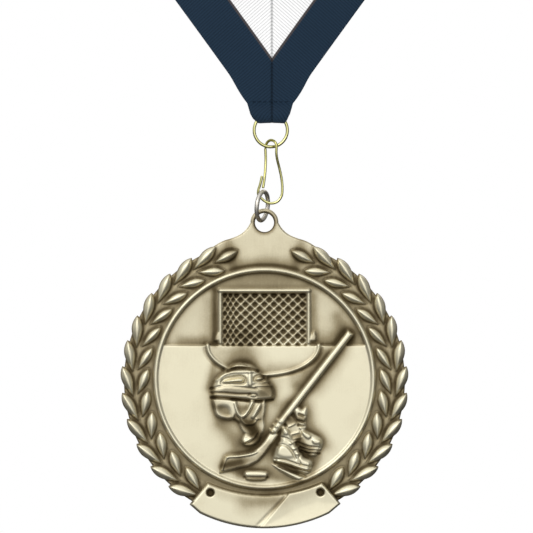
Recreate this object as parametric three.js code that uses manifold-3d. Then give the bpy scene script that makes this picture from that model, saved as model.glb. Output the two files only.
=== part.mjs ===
// A laurel-wreath ice hockey medal hanging from a V-neck ribbon. Millimetres, +Z up.
// The origin is where the ribbon rests on the back of the neck. The medal's face looks along -Y.
import * as THREE from "three";
import { ConvexGeometry } from "three/addons/geometries/ConvexGeometry.js";
import { mergeVertices } from "three/addons/utils/BufferGeometryUtils.js";
import Module from "manifold-3d";

const wasm = await Module();
wasm.setup();

// ---------------------------------------------------------------- driving dimensions

const RIBBON = {
  length: 812,        // once round, from seam to seam
  upper: 12.0,        // its upper edge and
  lower: 10.2,        // its lower edge, from the line between the two colours
  thick: 0.55,
  seamAngle: 33.8,
};
const SPLIT_RING = { outer: 8.8, wire: 0.75, turns: 1.93 };
const CLIP = { wire: 0.76, reach: 1.45 };
const JUMP_RING = { outer: 8.1, wire: 1.1, turn: -22, lean: 7 };
const MEDAL = {
  ground: 34.0,       // radius of the wreath's ground
  rim: 26.5,          // radius of the raised line round the scene
  back: 1.3,          // the back face, behind the middle plane
  front: 1.1,         // the ground, in front of the middle plane
  tabHole: 2.3,
  tabRadius: 3.4,
  tabHeight: 38.3,    // from the scene's centre up to the hole
};

// Heights on the seam line, measured from the mount.
const LEVEL = {
  foldCut: -216.4,    // where the two straps end in the folded loop
  foldBottom: -221.3,
  ringCentre: -222.96,
  jumpRing: -241.3,
  medal: -283.6,
};
// Sideways places of the hanging pieces, from the seam.
const SIDE = { ring: -0.3, jumpRing: -2.35, medal: -1.82 };

// ---------------------------------------------------------------- solids and shapes

const radians = THREE.MathUtils.degToRad;

function solid(geometry) {
  const plain = geometry.index ? geometry.toNonIndexed() : geometry.clone();
  plain.deleteAttribute("normal");
  plain.deleteAttribute("uv");
  const merged = mergeVertices(plain, 1e-5);
  return new wasm.Manifold(new wasm.Mesh({
    numProp: 3,
    vertProperties: new Float32Array(merged.attributes.position.array),
    triVerts: new Uint32Array(merged.index.array),
  }));
}

const FINEST_EDGE = 0.01;      // shorter edges left by the cuts are collapsed

function geometryOf(manifold) {
  const mesh = manifold.simplify(FINEST_EDGE).getMesh();
  const geometry = new THREE.BufferGeometry();
  geometry.setAttribute("position", new THREE.BufferAttribute(mesh.vertProperties, 3));
  geometry.setIndex(new THREE.BufferAttribute(mesh.triVerts, 1));
  geometry.computeVertexNormals();
  return geometry;
}

function joined(solids) {
  return solids.reduce((whole, next) => whole.add(next));
}

// A prism along Y, drawn in X and Z, from the back plane to the front plane.
function prismY(shape, back, front, curveSegments = 12) {
  const geometry = new THREE.ExtrudeGeometry(shape, {
    depth: back - front, bevelEnabled: false, curveSegments,
  });
  geometry.rotateX(Math.PI / 2);
  geometry.translate(0, back, 0);
  return geometry;
}

// A prism along X, drawn in Y and Z.
function prismX(shape, left, right) {
  const geometry = new THREE.ExtrudeGeometry(shape, { depth: right - left, bevelEnabled: false });
  geometry.applyMatrix4(new THREE.Matrix4().makeBasis(
    new THREE.Vector3(0, 1, 0), new THREE.Vector3(0, 0, 1), new THREE.Vector3(1, 0, 0)));
  geometry.translate(left, 0, 0);
  return geometry;
}

function polygon(points) {
  return new THREE.Shape(points.map(([x, y]) => new THREE.Vector2(x, y)));
}

// Points on a circle about the scene's centre, at angles from straight up, clockwise.
function onCircle(radius, degrees) {
  return [radius * Math.sin(radians(degrees)), radius * Math.cos(radians(degrees))];
}

function arcPoints(radius, from, to, steps) {
  return Array.from({ length: steps + 1 }, (_, i) => onCircle(radius, from + (to - from) * i / steps));
}

function wire(path, diameter, steps, sides = 8) {
  const section = new THREE.Shape();
  section.absarc(0, 0, diameter / 2, 0, 2 * Math.PI);
  return new THREE.ExtrudeGeometry(section, {
    steps, bevelEnabled: false, extrudePath: path, curveSegments: sides / 2,
  });
}

// A round wire coil about the X axis. The coil steps sideways by `rise` half way along.
class Coil extends THREE.Curve {
  constructor(radius, turns, rise, start) {
    super();
    Object.assign(this, { radius, turns, rise, start });
  }

  getPoint(t, target = new THREE.Vector3()) {
    const angle = radians(this.start) + t * this.turns * 2 * Math.PI;
    const side = THREE.MathUtils.smoothstep(t, 0.46, 0.54) - 0.5;
    return target.set(this.rise * side, this.radius * Math.sin(angle), this.radius * Math.cos(angle));
  }
}

// ---------------------------------------------------------------- the ribbon

// The worn ribbon is a straight flat strip laid round a cone whose point is above the neck.
// The strip meets itself at the front, where the two straps are sewn into a V.
const SECTOR = 90 - RIBBON.seamAngle;
const CONE = {
  sine: SECTOR / 180,
  cosine: Math.sqrt(1 - (SECTOR / 180) ** 2),
  reach: RIBBON.length / 2 / Math.tan(radians(SECTOR)),
};
const HANG = { start: -195, end: -219 };    // the V bends to hang plumb between these heights

function ribbonPoint(along, across) {
  const slant = Math.hypot(along, CONE.reach + across);
  const turn = Math.atan2(along, CONE.reach + across) / CONE.sine;
  const radius = slant * CONE.sine;
  const z = (CONE.reach - slant) * CONE.cosine;
  const bend = Math.max(0, (HANG.start - z) / (HANG.start - HANG.end));
  const pull = (HANG.start - HANG.end) * CONE.sine / CONE.cosine
    * (bend < 1 ? bend * bend / 2 : bend - 0.5);
  const front = THREE.MathUtils.smoothstep(turn, 2, 3);
  return new THREE.Vector3(
    radius * Math.sin(turn),
    radius * Math.cos(turn) - CONE.reach * CONE.sine + pull * front,
    z);
}

function ribbonNormal(along, across) {
  const step = 0.05;
  const lengthwise = ribbonPoint(along + step, across).sub(ribbonPoint(along - step, across));
  const crosswise = ribbonPoint(along, across + step).sub(ribbonPoint(along, across - step));
  return crosswise.cross(lengthwise).normalize().negate();
}

// The level cut of the folded loop, as a distance from the cone's point, and the strip line
// where that cut meets the seam.
const CUT_SLANT = CONE.reach - LEVEL.foldCut / CONE.cosine;
const CUT_CORNER = CUT_SLANT * Math.cos(radians(SECTOR)) - CONE.reach;

// Where a strip line ends at the front: on the seam, or on the level cut.
function frontEnd(across) {
  const seam = (CONE.reach + across) * Math.tan(radians(SECTOR));
  const cut = Math.sqrt(CUT_SLANT ** 2 - (CONE.reach + across) ** 2);
  return Math.min(seam, cut);
}

// The chain hangs in the middle of the folded loop, half a ribbon behind the straps' cut.
const CHAIN_Y = ribbonPoint(frontEnd(CUT_CORNER), CUT_CORNER).y + RIBBON.thick / 2;

function strapLoop() {
  const { upper, lower } = RIBBON;
  const rows = [-upper, -upper / 2, 0, CUT_CORNER / 2, CUT_CORNER, (CUT_CORNER + lower) / 2, lower];
  const cornerRow = rows.indexOf(CUT_CORNER);
  const columns = 44;
  const positions = [];
  const point = (side, face, k, j) => {
    const share = (k / columns) ** 1.25;
    const along = frontEnd(rows[j]) * (1 - share);
    const p = ribbonPoint(along, rows[j]);
    p.addScaledVector(ribbonNormal(along, rows[j]), face * RIBBON.thick / 2);
    return [k === 0 && j <= cornerRow || k === columns ? 0 : side * p.x, p.y, p.z];
  };
  const quad = (side, a, b, c, d) => {
    const corners = side > 0 ? [a, b, c, a, c, d] : [a, c, b, a, d, c];
    corners.forEach(([face, k, j]) => positions.push(...point(side, face, k, j)));
  };
  for (const side of [-1, 1]) {
    for (let k = 0; k < columns; k++) {
      for (let j = 0; j < rows.length - 1; j++) {
        quad(side, [1, k, j], [1, k, j + 1], [1, k + 1, j + 1], [1, k + 1, j]);
        quad(side, [-1, k, j], [-1, k + 1, j], [-1, k + 1, j + 1], [-1, k, j + 1]);
      }
      const last = rows.length - 1;
      quad(side, [1, k, 0], [1, k + 1, 0], [-1, k + 1, 0], [-1, k, 0]);
      quad(side, [1, k, last], [-1, k, last], [-1, k + 1, last], [1, k + 1, last]);
    }
    for (let j = cornerRow; j < rows.length - 1; j++) {
      quad(side, [1, 0, j], [-1, 0, j], [-1, 0, j + 1], [1, 0, j + 1]);
    }
  }
  const geometry = new THREE.BufferGeometry();
  geometry.setAttribute("position", new THREE.Float32BufferAttribute(positions, 3));
  return geometry;
}

const LAYER_GAP = 0.01;      // between the fold's two layers, which are one solid above the pocket

// The folded end: a pocket round the split ring, tapered from both sides.
function foldedLoop() {
  const top = 5.5;
  const neck = RIBBON.thick + LAYER_GAP;
  const outside = [
    [neck, top], [neck, 4.0], [1.45, 3.1], [2.05, 1.9], [1.95, 1.1], [1.2, 0.25], [0, 0],
  ];
  const inside = [[0, 3.6], [0.85, 3.0], [1.5, 2.0], [1.4, 1.2], [0.8, 0.7], [0, RIBBON.thick]];
  const mirrored = (points) => [
    ...points.map(([y, z]) => [y, z]),
    ...points.filter(([y]) => y > 0).reverse().map(([y, z]) => [-y, z]),
  ];
  const place = ([y, z]) => [CHAIN_Y + y, LEVEL.foldBottom + z];
  const reach = 8;
  const loop = solid(prismX(polygon(mirrored(outside).map(place)), -reach, reach));
  const pocket = solid(prismX(polygon(mirrored(inside).map(place)), -reach - 1, reach + 1));
  const taper = [[5.7, top], [5.2, 3.7], [4.75, 2.0], [4.3, 1.4], [2.9, 0.88], [2.3, 0]];
  const outline = [
    ...taper.map(([x, z]) => [SIDE.ring + x, z]),
    ...[...taper].reverse().map(([x, z]) => [SIDE.ring - x, z]),
  ];
  const front = polygon(outline.map(([x, z]) => [x, LEVEL.foldBottom + z]));
  const gauge = solid(prismY(front, CHAIN_Y + reach, CHAIN_Y - reach));
  return loop.subtract(pocket).intersect(gauge);
}

function neckRibbon() {
  return geometryOf(solid(strapLoop()).add(foldedLoop()));
}

// ---------------------------------------------------------------- sewing threads

const THREAD = { diameter: 0.3, lift: 0.34 };

function threadThrough(points) {
  const path = new THREE.CatmullRomCurve3(points, false, "centripetal");
  return wire(path, THREAD.diameter, points.length * 3, 6);
}

// A zigzag along the V seam, on the ribbon's inner face.
function mitreSeamThread() {
  const points = [];
  let side = 1;
  for (let across = 1 - RIBBON.upper; across < 4; across += 0.9) {
    const along = frontEnd(across);
    const lift = RIBBON.thick / 2 + THREAD.lift;
    const place = ribbonPoint(along, across).addScaledVector(ribbonNormal(along, across), -lift);
    points.push(new THREE.Vector3(0.7 * side, place.y, place.z));
    side = -side;
  }
  return threadThrough(points);
}

// A zigzag across the folded end, on the back face, just above the pocket.
function foldSeamThread() {
  const points = [];
  const behind = CHAIN_Y + RIBBON.thick + LAYER_GAP + THREAD.lift;
  for (let i = -6; i <= 6; i++) {
    const rise = i % 2 === 0 ? 0.3 : -0.3;
    points.push(new THREE.Vector3(SIDE.ring + i * 0.7, behind, LEVEL.foldBottom + 4.7 + rise));
  }
  return threadThrough(points);
}

// ---------------------------------------------------------------- rings and clip

function splitRing() {
  const radius = (SPLIT_RING.outer - SPLIT_RING.wire) / 2;
  return wire(new Coil(radius, SPLIT_RING.turns, SPLIT_RING.wire + 0.06, 205), SPLIT_RING.wire, 84);
}

function jumpRing() {
  const radius = (JUMP_RING.outer - JUMP_RING.wire) / 2;
  return wire(new Coil(radius, 0.985, 0, 60), JUMP_RING.wire, 40);
}

// The clip is one bent wire. Its left leg springs, so the wire is parted just under the arch.
const CLIP_BODY = [
  [-1.56, CLIP.reach, -227.1], [-1.47, CLIP.reach, -226.5], [-1.05, 1.1, -225.75], [-0.22, 0, -225.35],
  [0.65, -1.1, -225.75], [1.06, -CLIP.reach, -226.5], [1.05, -CLIP.reach, -228.4], [1.25, -1.1, -230.0],
  [1.75, -0.5, -232.0], [2.3, -0.1, -234.6], [2.5, 0, -236.8], [2.32, 0, -238.8],
  [1.4, 0, -240.15], [0, 0, -240.65], [-1.35, 0, -240.35], [-2.5, 0, -239.5],
  [-3.3, 0, -238.5], [-3.3, -0.1, -237.5], [-2.85, -0.3, -236.0], [-2.45, -0.45, -234.2],
];
const CLIP_LATCH = [
  [-1.6, CLIP.reach, -227.4], [-1.52, CLIP.reach, -229.6], [-1.6, 1.15, -232.2],
  [-1.82, 0.75, -234.6], [-2.15, 0.5, -236.8],
];

function bentWire(points, steps) {
  const path = new THREE.CatmullRomCurve3(points.map((p) => new THREE.Vector3(...p)), false, "centripetal");
  return wire(path, CLIP.wire, steps);
}

// ---------------------------------------------------------------- the medal

const FACE = {                 // how far each surface stands in front of the middle plane
  leafEdge: 1.3, leafRidge: 2.3, innerRidge: 2.1, rim: 2.0,
  sky: 0.7, ice: 1.35, netFloor: 0.3, net: 0.8, post: 1.6, crease: 1.75,
  banner: 1.9, bannerFold: 2.3, strap: 2.1, figure: 2.3, band: 2.65, detail: 2.8, stick: 2.2, puck: 2.0,
};
const HORIZON = 8.57;
const BURIED = 0.3;            // how deep raised work is rooted in the surface under it

function raised(points, front, root = FACE.ice) {
  return solid(prismY(polygon(points), -root + BURIED, -front));
}

function disc(radius, back, front, sides = 96) {
  return new THREE.CylinderGeometry(radius, radius, back - front, sides).translate(0, (back + front) / 2, 0);
}

// A leaf is a pointed lens with a ridge along its middle. Its tip points along `heading`.
function leaf(centre, heading, length, width, root, ridge) {
  const points = [];
  const half = [[-0.2, 0.4], [0.12, 0.5], [0.36, 0.3]];
  const outline = [[-0.5, 0], ...half, [0.5, 0], ...half.map(([along, across]) => [along, -across])];
  const forward = [Math.sin(radians(heading)), Math.cos(radians(heading))];
  const place = (along, across, y) => new THREE.Vector3(
    centre[0] + along * length * forward[0] + across * width * forward[1], y,
    centre[1] + along * length * forward[1] - across * width * forward[0]);
  for (const [along, across] of outline) {
    points.push(place(along, across, root), place(along, across, -FACE.leafEdge));
  }
  points.push(place(-0.3, 0, -ridge), place(0.3, 0, -ridge));
  return solid(new ConvexGeometry(points));
}

// Two rows of leaves climb each side from the banner to the tab, with a single leaf at the tip.
function wreath() {
  const leaves = [];
  for (const side of [-1, 1]) {
    for (let i = 0; i < 12; i++) {
      const angle = side * (26 + 10.7 * i);
      const climb = angle - side * 90;
      leaves.push(leaf(onCircle(33.0, angle), climb + side * 22, 7.9, 2.7, MEDAL.back, FACE.leafRidge));
      leaves.push(leaf(onCircle(29.4, angle), climb - side * 23, 6.6, 2.2, 0, FACE.innerRidge));
    }
    leaves.push(leaf(onCircle(31.4, side * 17.3), side * (17.3 - 80), 6.4, 2.5, 0, FACE.leafRidge));
  }
  return joined(leaves);
}

// The plate: ground disc, shoulders and hanging tab, with a shallow recess in the back.
function plate() {
  const { back, front, tabRadius: r, tabHeight: h } = MEDAL;
  const shoulders = new THREE.Shape();
  shoulders.moveTo(-14, 30.9);
  shoulders.quadraticCurveTo(-12.2, 33.0, -9.6, 34.0);
  shoulders.bezierCurveTo(-6.2, 34.9, -4.6, 35.8, -r + 0.05, h);
  shoulders.absarc(0, h, r, Math.PI, 0, true);
  shoulders.bezierCurveTo(4.6, 35.8, 6.2, 34.9, 9.6, 34.0);
  shoulders.quadraticCurveTo(12.2, 33.0, 14, 30.9);
  const recess = solid(disc(30.2, back + 1, back - 0.4));
  const hole = solid(disc(MEDAL.tabHole, 3, -3, 24).translate(0, 0, h));
  return solid(disc(MEDAL.ground, back, -front))
    .add(solid(prismY(shoulders, back, -front)))
    .subtract(recess)
    .subtract(hole);
}

function rimLine() {
  const r = MEDAL.rim;
  const root = -0.5;
  const section = [
    [r - 0.6, root], [r - 0.25, -FACE.rim], [r + 0.3, -FACE.rim], [r + 0.7, root], [r - 0.6, root],
  ];
  return solid(new THREE.LatheGeometry(section.map(([x, y]) => new THREE.Vector2(x, y)), 96));
}

// The part of a round disc above or below the horizon.
function horizonHalf(radius, above, back, front) {
  const limit = THREE.MathUtils.radToDeg(Math.acos(HORIZON / radius));
  const points = above ? arcPoints(radius, -limit, limit, 48) : arcPoints(radius, limit, 360 - limit, 72);
  return solid(prismY(polygon(points), back, front));
}

function goal() {
  const left = -11.3;
  const right = 11.3;
  const top = 22.4;
  const bar = 1.25;
  const mouth = [
    [left + bar, HORIZON], [left + bar, top - bar], [right - bar, top - bar], [right - bar, HORIZON],
  ];
  const frame = joined([
    raised([[left, HORIZON], [left, top], [left + bar, top], [left + bar, HORIZON]], FACE.post, FACE.sky),
    raised([[right - bar, HORIZON], [right - bar, top], [right, top], [right, HORIZON]], FACE.post, FACE.sky),
    raised([[left, top - bar], [left, top], [right, top], [right, top - bar]], FACE.post, FACE.sky),
  ]);
  const cords = [];
  const pitch = 1.64;
  for (const slope of [-1, 1]) {
    for (let i = -10; i <= 10; i++) {
      const cord = new THREE.BoxGeometry(0.55, FACE.net, 34);
      cord.translate(i * pitch, -FACE.net / 2, 0).rotateY(slope * radians(44));
      cords.push(solid(cord.translate(0, 0, (top + HORIZON) / 2)));
    }
  }
  const net = joined(cords).intersect(solid(prismY(polygon(mouth), 1, -2)));
  const pocket = solid(prismY(polygon(mouth), -FACE.netFloor, -3));
  return { frame, net, pocket };
}

function crease() {
  const outer = [];
  const inner = [];
  for (let i = 0; i <= 24; i++) {
    const angle = Math.PI * i / 24;
    outer.push([13.9 * Math.cos(angle) - 0.3, HORIZON - 7.5 * Math.sin(angle)]);
    inner.unshift([13.0 * Math.cos(angle) - 0.3, HORIZON - 6.7 * Math.sin(angle)]);
  }
  return raised([...outer, ...inner], FACE.crease);
}

function halfEllipse(centre, wide, tall, steps) {
  return Array.from({ length: steps + 1 }, (_, i) => {
    const angle = Math.PI * i / steps;
    return [centre[0] + wide * Math.cos(angle), centre[1] + tall * Math.sin(angle)];
  });
}

function helmet() {
  const centre = [-5.5, -4.2];
  return joined([
    raised(halfEllipse(centre, 8.0, 8.1, 20), FACE.figure),
    raised(halfEllipse([-5.9, -1.0], 5.6, 3.9, 16), FACE.detail),
    raised([[-13.4, -4.3], [-13.1, -1.9], [1.9, -1.7], [2.5, -4.5], [-5.4, -5.2]], FACE.band),
    raised([[-12.8, -4], [-12.4, -8], [-11.2, -9.1], [-7.5, -9.6], [-4.8, -12.2], [-3.2, -12],
      [-1.4, -9.4], [-0.5, -6], [-0.3, -4]], FACE.figure),
    raised([[-5.6, -15.2], [-5.2, -13.8], [-3.4, -12.8], [-2.7, -13.8], [-3.2, -15.4], [-4.6, -16]],
      FACE.figure),
    raised([[-4.6, -13.6], [-4.4, -11.4], [-3.1, -11.4], [-3.2, -13.6]], FACE.strap),
  ]);
}

function stick() {
  const blade = [[1.2, -12.1], [2.3, -12.9], [0.6, -16.6], [-1.2, -19.0], [-2.8, -20.2], [-7.3, -21.6],
    [-11.1, -22.2], [-9.7, -18.1], [-5.5, -18.0], [-2.8, -17.4], [-0.8, -15.9]];
  const shaft = [[1.2, -12.1], [20.1, 11.9], [21.2, 11.1], [2.3, -12.9]];
  return joined([raised(blade, FACE.stick), raised(shaft, FACE.stick, FACE.sky)]);
}

function skates() {
  const nearBoot = [[4.4, -10.7], [6.2, -11], [5.8, -13.8], [7.5, -14.8], [8.4, -17.3], [9.6, -19],
    [11.5, -20.2], [10.9, -21.9], [8.5, -21.8], [2.3, -19.5], [2.3, -17.5], [3.7, -14.8]];
  const nearBlade = [
    [1.6, -20.2], [2.6, -19.9], [9.7, -23.0], [10.7, -23.5], [9.9, -24.3], [7.5, -23.6], [3.7, -22.2],
  ];
  const farBoot = [[7.8, -6.1], [9.9, -6.1], [9.7, -8.1], [11.2, -11.7], [14.3, -14.1], [13.8, -15.8],
    [12.3, -17.9], [10.9, -18.6], [9.0, -17.6], [7.6, -14.6], [6.0, -11.2], [6.5, -7.8]];
  return joined([
    raised(nearBoot, FACE.detail), raised(nearBlade, FACE.stick), raised(farBoot, FACE.figure),
  ]);
}

function banner() {
  const inner = 28.6;
  const outer = 35.7;
  const { back } = MEDAL;
  const left = onCircle(35.0, 211.4);
  const right = onCircle(35.0, 148.6);
  const body = [...arcPoints(inner, 150.6, 209.4, 24), left, ...arcPoints(outer, 206, 154, 24), right];
  const fold = [[5.8, -28.0], ...arcPoints(inner, 166, 150.6, 8), right, ...arcPoints(outer, 154, 182, 12)];
  const dimples = [-1, 1].map((side) =>
    solid(disc(1.0, -1.1, -4, 16).translate(side * 13.5, 0, -27.3)));
  return solid(prismY(polygon(body), back, -FACE.banner))
    .add(solid(prismY(polygon(fold), 0, -FACE.bannerFold)))
    .subtract(joined(dimples));
}

function medalCasting() {
  const { frame, net, pocket } = goal();
  const inside = MEDAL.rim - 0.4;
  const scene = joined([frame, net, crease(), helmet(), stick(), skates(),
    raised([[-4.9, -23.9], [-4.9, -22.1], [0.8, -22.1], [0.8, -23.9]], FACE.puck)]);
  const casting = plate()
    .add(wreath())
    .subtract(solid(disc(inside, -FACE.sky, -4)))
    .subtract(pocket)
    .add(rimLine())
    .add(horizonHalf(inside + 0.1, false, 0, -FACE.ice))
    .add(scene.intersect(solid(disc(MEDAL.rim, 2, -4))))
    .add(banner());
  return geometryOf(casting);
}

// ---------------------------------------------------------------- the assembly

const gold = { color: "#c9b96a", roughness: 0.28, metalness: 1 };
const silver = { color: "#c4c2bb", roughness: 0.3, metalness: 1 };
const antique = { color: "#b9a983", roughness: 0.42, metalness: 1 };
const navy = { color: "#22344a", roughness: 0.9, metalness: 0 };

const group = new THREE.Group();

function add(name, geometry, look, place = [0, 0, 0]) {
  const mesh = new THREE.Mesh(geometry, new THREE.MeshStandardMaterial(look));
  mesh.name = name;
  mesh.position.set(...place);
  group.add(mesh);
  return mesh;
}

add("neck_ribbon", neckRibbon(), navy);
add("mitre_seam_thread", mitreSeamThread(), navy);
add("fold_seam_thread", foldSeamThread(), navy);
const ring = add("split_ring", splitRing(), gold, [SIDE.ring, CHAIN_Y, LEVEL.ringCentre]);
ring.rotation.z = Math.PI / 2;
add("snap_clip", bentWire(CLIP_BODY, 72), gold, [0, CHAIN_Y, 0]);
add("clip_latch", bentWire(CLIP_LATCH, 14), gold, [0, CHAIN_Y, 0]);
const link = add("jump_ring", jumpRing(), silver, [SIDE.jumpRing, CHAIN_Y, LEVEL.jumpRing]);
link.rotation.set(0, radians(JUMP_RING.lean), radians(JUMP_RING.turn));
add("medal_casting", medalCasting(), antique, [SIDE.medal, CHAIN_Y, LEVEL.medal]);

export default group;
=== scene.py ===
import math

import bmesh
import bpy
import numpy as np
from mathutils import Matrix, Vector


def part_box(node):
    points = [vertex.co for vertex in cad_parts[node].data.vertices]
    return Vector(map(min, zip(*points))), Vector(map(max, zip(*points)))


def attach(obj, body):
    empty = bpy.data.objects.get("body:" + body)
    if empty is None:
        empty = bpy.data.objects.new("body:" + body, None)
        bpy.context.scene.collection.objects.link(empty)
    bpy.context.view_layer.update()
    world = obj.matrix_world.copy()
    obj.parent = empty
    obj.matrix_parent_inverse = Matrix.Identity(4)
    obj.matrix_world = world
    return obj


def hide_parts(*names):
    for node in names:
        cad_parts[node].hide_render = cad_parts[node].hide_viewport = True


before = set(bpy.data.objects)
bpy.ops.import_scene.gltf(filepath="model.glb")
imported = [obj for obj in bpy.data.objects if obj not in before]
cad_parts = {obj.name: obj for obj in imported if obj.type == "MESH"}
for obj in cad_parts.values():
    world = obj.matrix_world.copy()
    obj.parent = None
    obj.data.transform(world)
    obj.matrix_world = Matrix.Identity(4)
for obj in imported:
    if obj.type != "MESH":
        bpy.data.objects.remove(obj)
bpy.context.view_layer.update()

# A laurel-wreath ice hockey medal hanging from a V-neck ribbon. Shapes are worked out in
# millimetres in the frame's axes, and every mesh is written in metres.

MM = 0.001

RIBBON = {"length": 812.0, "upper": 12.0, "lower": 10.2, "thick": 0.55, "seam_angle": 33.8}
SPLIT_RING = {"outer": 8.8, "wire": 0.75, "turns": 1.93, "rise": 0.81, "start": 205.0}
CLIP_WIRE = 0.64
JUMP_RING = {"outer": 8.06, "wire": 1.06, "turn": -22.0, "lean": 7.0, "start": 60.0}
FOLD_CUT = -216.4               # where the two straps end in the folded loop
FOLD_BOTTOM = -221.3
HANG = {"start": -195.0, "end": -219.0}
MEDAL = {"ground": 34.0, "rim": 26.3, "rim_rise": 0.55, "back": 1.3,
         "tab_hole": 2.3, "tab_radius": 3.4, "tab_height": 38.3}


def box_mm(node):
    low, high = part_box(node)
    return np.array(low) / MM, np.array(high) / MM


def middle_mm(node):
    low, high = box_mm(node)
    return (low + high) / 2


CASTING_LOW, CASTING_HIGH = box_mm("medal_casting")
CHAIN_Y = CASTING_HIGH[1] - MEDAL["back"]
MEDAL_X = (CASTING_LOW[0] + CASTING_HIGH[0]) / 2
MEDAL_Z = CASTING_HIGH[2] - MEDAL["tab_height"] - MEDAL["tab_radius"]
MEDAL_PLACE = (MEDAL_X, CHAIN_Y, MEDAL_Z)


# ---------------------------------------------------------------- camera, floor and light

def make_camera():
    view_width, sensor, lens = 0.1291, 0.036, 300.0
    data = bpy.data.cameras.new("camera")
    data.sensor_width = sensor / MM
    data.lens = lens
    camera = bpy.data.objects.new("camera", data)
    bpy.context.collection.objects.link(camera)
    target = Vector((-1.33, CHAIN_Y, -255.95)) * MM
    camera.location = target - Vector((0, lens * MM * view_width / sensor, 0))
    camera.rotation_euler = (math.radians(90), 0, 0)
    bpy.context.scene.camera = camera


def soft_box(name, place, target, size, power):
    data = bpy.data.lights.new(name, "AREA")
    data.shape = "RECTANGLE"
    data.size, data.size_y = size
    data.energy = power
    lamp = bpy.data.objects.new(name, data)
    bpy.context.collection.objects.link(lamp)
    lamp.location = place
    lamp.rotation_euler = (Vector(target) - lamp.location).to_track_quat("-Z", "Y").to_euler()


# ---------------------------------------------------------------- node helpers

def set_inputs(tree, made, inputs):
    """Each input is a plain value or another node's output."""
    for key, value in dict(inputs).items():
        if isinstance(value, bpy.types.NodeSocket):
            tree.links.new(value, made.inputs[key])
        else:
            made.inputs[key].default_value = value


def node(tree, kind, inputs=(), **settings):
    made = tree.nodes.new("ShaderNode" + kind)
    for key, value in settings.items():
        setattr(made, key, value)
    set_inputs(tree, made, inputs)
    return made


def calc(tree, operation, *values):
    return node(tree, "Math", dict(enumerate(values)), operation=operation).outputs[0]


def ramp(tree, factor, stops):
    """Colours or grey levels along a factor, as (place, colour) stops."""
    made = node(tree, "ValToRGB", {0: factor})
    elements = made.color_ramp.elements
    while len(elements) < len(stops):
        elements.new(0.5)
    for element, (place, colour) in zip(elements, stops):
        element.position = place
        element.color = (*colour, 1) if isinstance(colour, tuple) else (colour, colour, colour, 1)
    return made.outputs[0]


def mix(tree, factor, a, b, blend="MIX"):
    values = {}
    for key, value in ((0, factor), (6, a), (7, b)):
        values[key] = (*value, 1) if isinstance(value, tuple) else value
    return node(tree, "Mix", values, data_type="RGBA", blend_type=blend).outputs[2]


def attribute(tree, name):
    return node(tree, "Attribute", attribute_name=name)


def noise(tree, vector, scale, detail=3.0):
    inputs = {"Vector": vector, "Scale": scale, "Detail": detail, "Roughness": 0.55}
    return node(tree, "TexNoise", inputs).outputs["Fac"]


def stretched(tree, vector, scale):
    return node(tree, "Mapping", {"Vector": vector, "Scale": scale}).outputs[0]


def new_material(name, **sockets):
    material = bpy.data.materials.new(name)
    material.use_nodes = True
    tree = material.node_tree
    shader = tree.nodes["Principled BSDF"]
    for key, value in sockets.items():
        shader.inputs[key.replace("_", " ")].default_value = value
    return material, tree, shader


def make_world():
    """White to the camera, and a soft studio gradient to everything that is lit or reflects."""
    world = bpy.data.worlds.new("studio")
    world.use_nodes = True
    bpy.context.scene.world = world
    tree = world.node_tree
    tree.nodes.clear()
    direction = node(tree, "TexCoord").outputs["Generated"]
    parts = node(tree, "SeparateXYZ", {0: direction}).outputs
    height = calc(tree, "MULTIPLY_ADD", parts[2], 0.5, 0.5)
    dome = ramp(tree, height, [(0.0, 0.08), (0.38, 0.22), (0.5, 0.68), (0.62, 0.95), (1.0, 1.05)])
    side = calc(tree, "MULTIPLY_ADD", parts[0], 0.5, 0.5)
    flanks = ramp(tree, side, [(0.0, 0.7), (0.12, 0.45), (0.3, 1.0), (0.66, 1.0), (0.86, 0.16),
                               (1.0, 0.4)])
    light = mix(tree, 1.0, dome, flanks, "MULTIPLY")
    ahead = calc(tree, "MULTIPLY", parts[1], -1.0)
    light = mix(tree, 1.0, light, ramp(tree, ahead, [(0.72, 0.0), (0.97, 0.5)]), "ADD")
    seen = node(tree, "LightPath").outputs["Is Camera Ray"]
    colour = mix(tree, seen, light, (1.0, 1.0, 1.0))
    shade = node(tree, "Background", {0: colour, 1: 1.0}).outputs[0]
    tree.links.new(shade, node(tree, "OutputWorld").inputs[0])


def make_floor():
    bpy.ops.mesh.primitive_plane_add(size=7.0, location=(0, 0, -0.62))
    floor = bpy.context.object
    floor.name = "floor"
    floor.visible_glossy = False
    material, tree, shader = new_material("floor_paper", Roughness=0.85)
    place = node(tree, "TexCoord").outputs["Object"]
    grain = noise(tree, place, 900.0, 2.0)
    paper = ramp(tree, grain, [(0.3, (0.80, 0.80, 0.79)), (0.7, (0.86, 0.86, 0.85))])
    set_inputs(tree, shader, {"Base Color": paper})
    floor.data.materials.append(material)


make_camera()
make_world()
make_floor()
scene_centre = (0.0, CHAIN_Y * MM, -0.26)
soft_box("key", (-0.45, CHAIN_Y * MM - 0.75, 0.25), scene_centre, (0.6, 0.45), 2.2)
soft_box("front_fill", (0.55, CHAIN_Y * MM - 0.8, -0.15), scene_centre, (0.5, 0.7), 0.6)
soft_box("back_fill", (0.35, 0.9, 0.25), (0, -0.12, -0.15), (0.8, 0.6), 3.0)
bpy.context.scene.view_settings.view_transform = "Standard"


# ---------------------------------------------------------------- mesh helpers

def make_piece(name, points, faces, material, body):
    """A mesh piece from points in millimetres, which rides on a body."""
    mesh = bpy.data.meshes.new(name)
    mesh.from_pydata((np.asarray(points, float) * MM).tolist(), [], [tuple(map(int, f)) for f in faces])
    mesh.update()
    mesh.polygons.foreach_set("use_smooth", [True] * len(mesh.polygons))
    piece = bpy.data.objects.new(name, mesh)
    bpy.context.collection.objects.link(piece)
    mesh.materials.append(material)
    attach(piece, body)
    return piece


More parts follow.
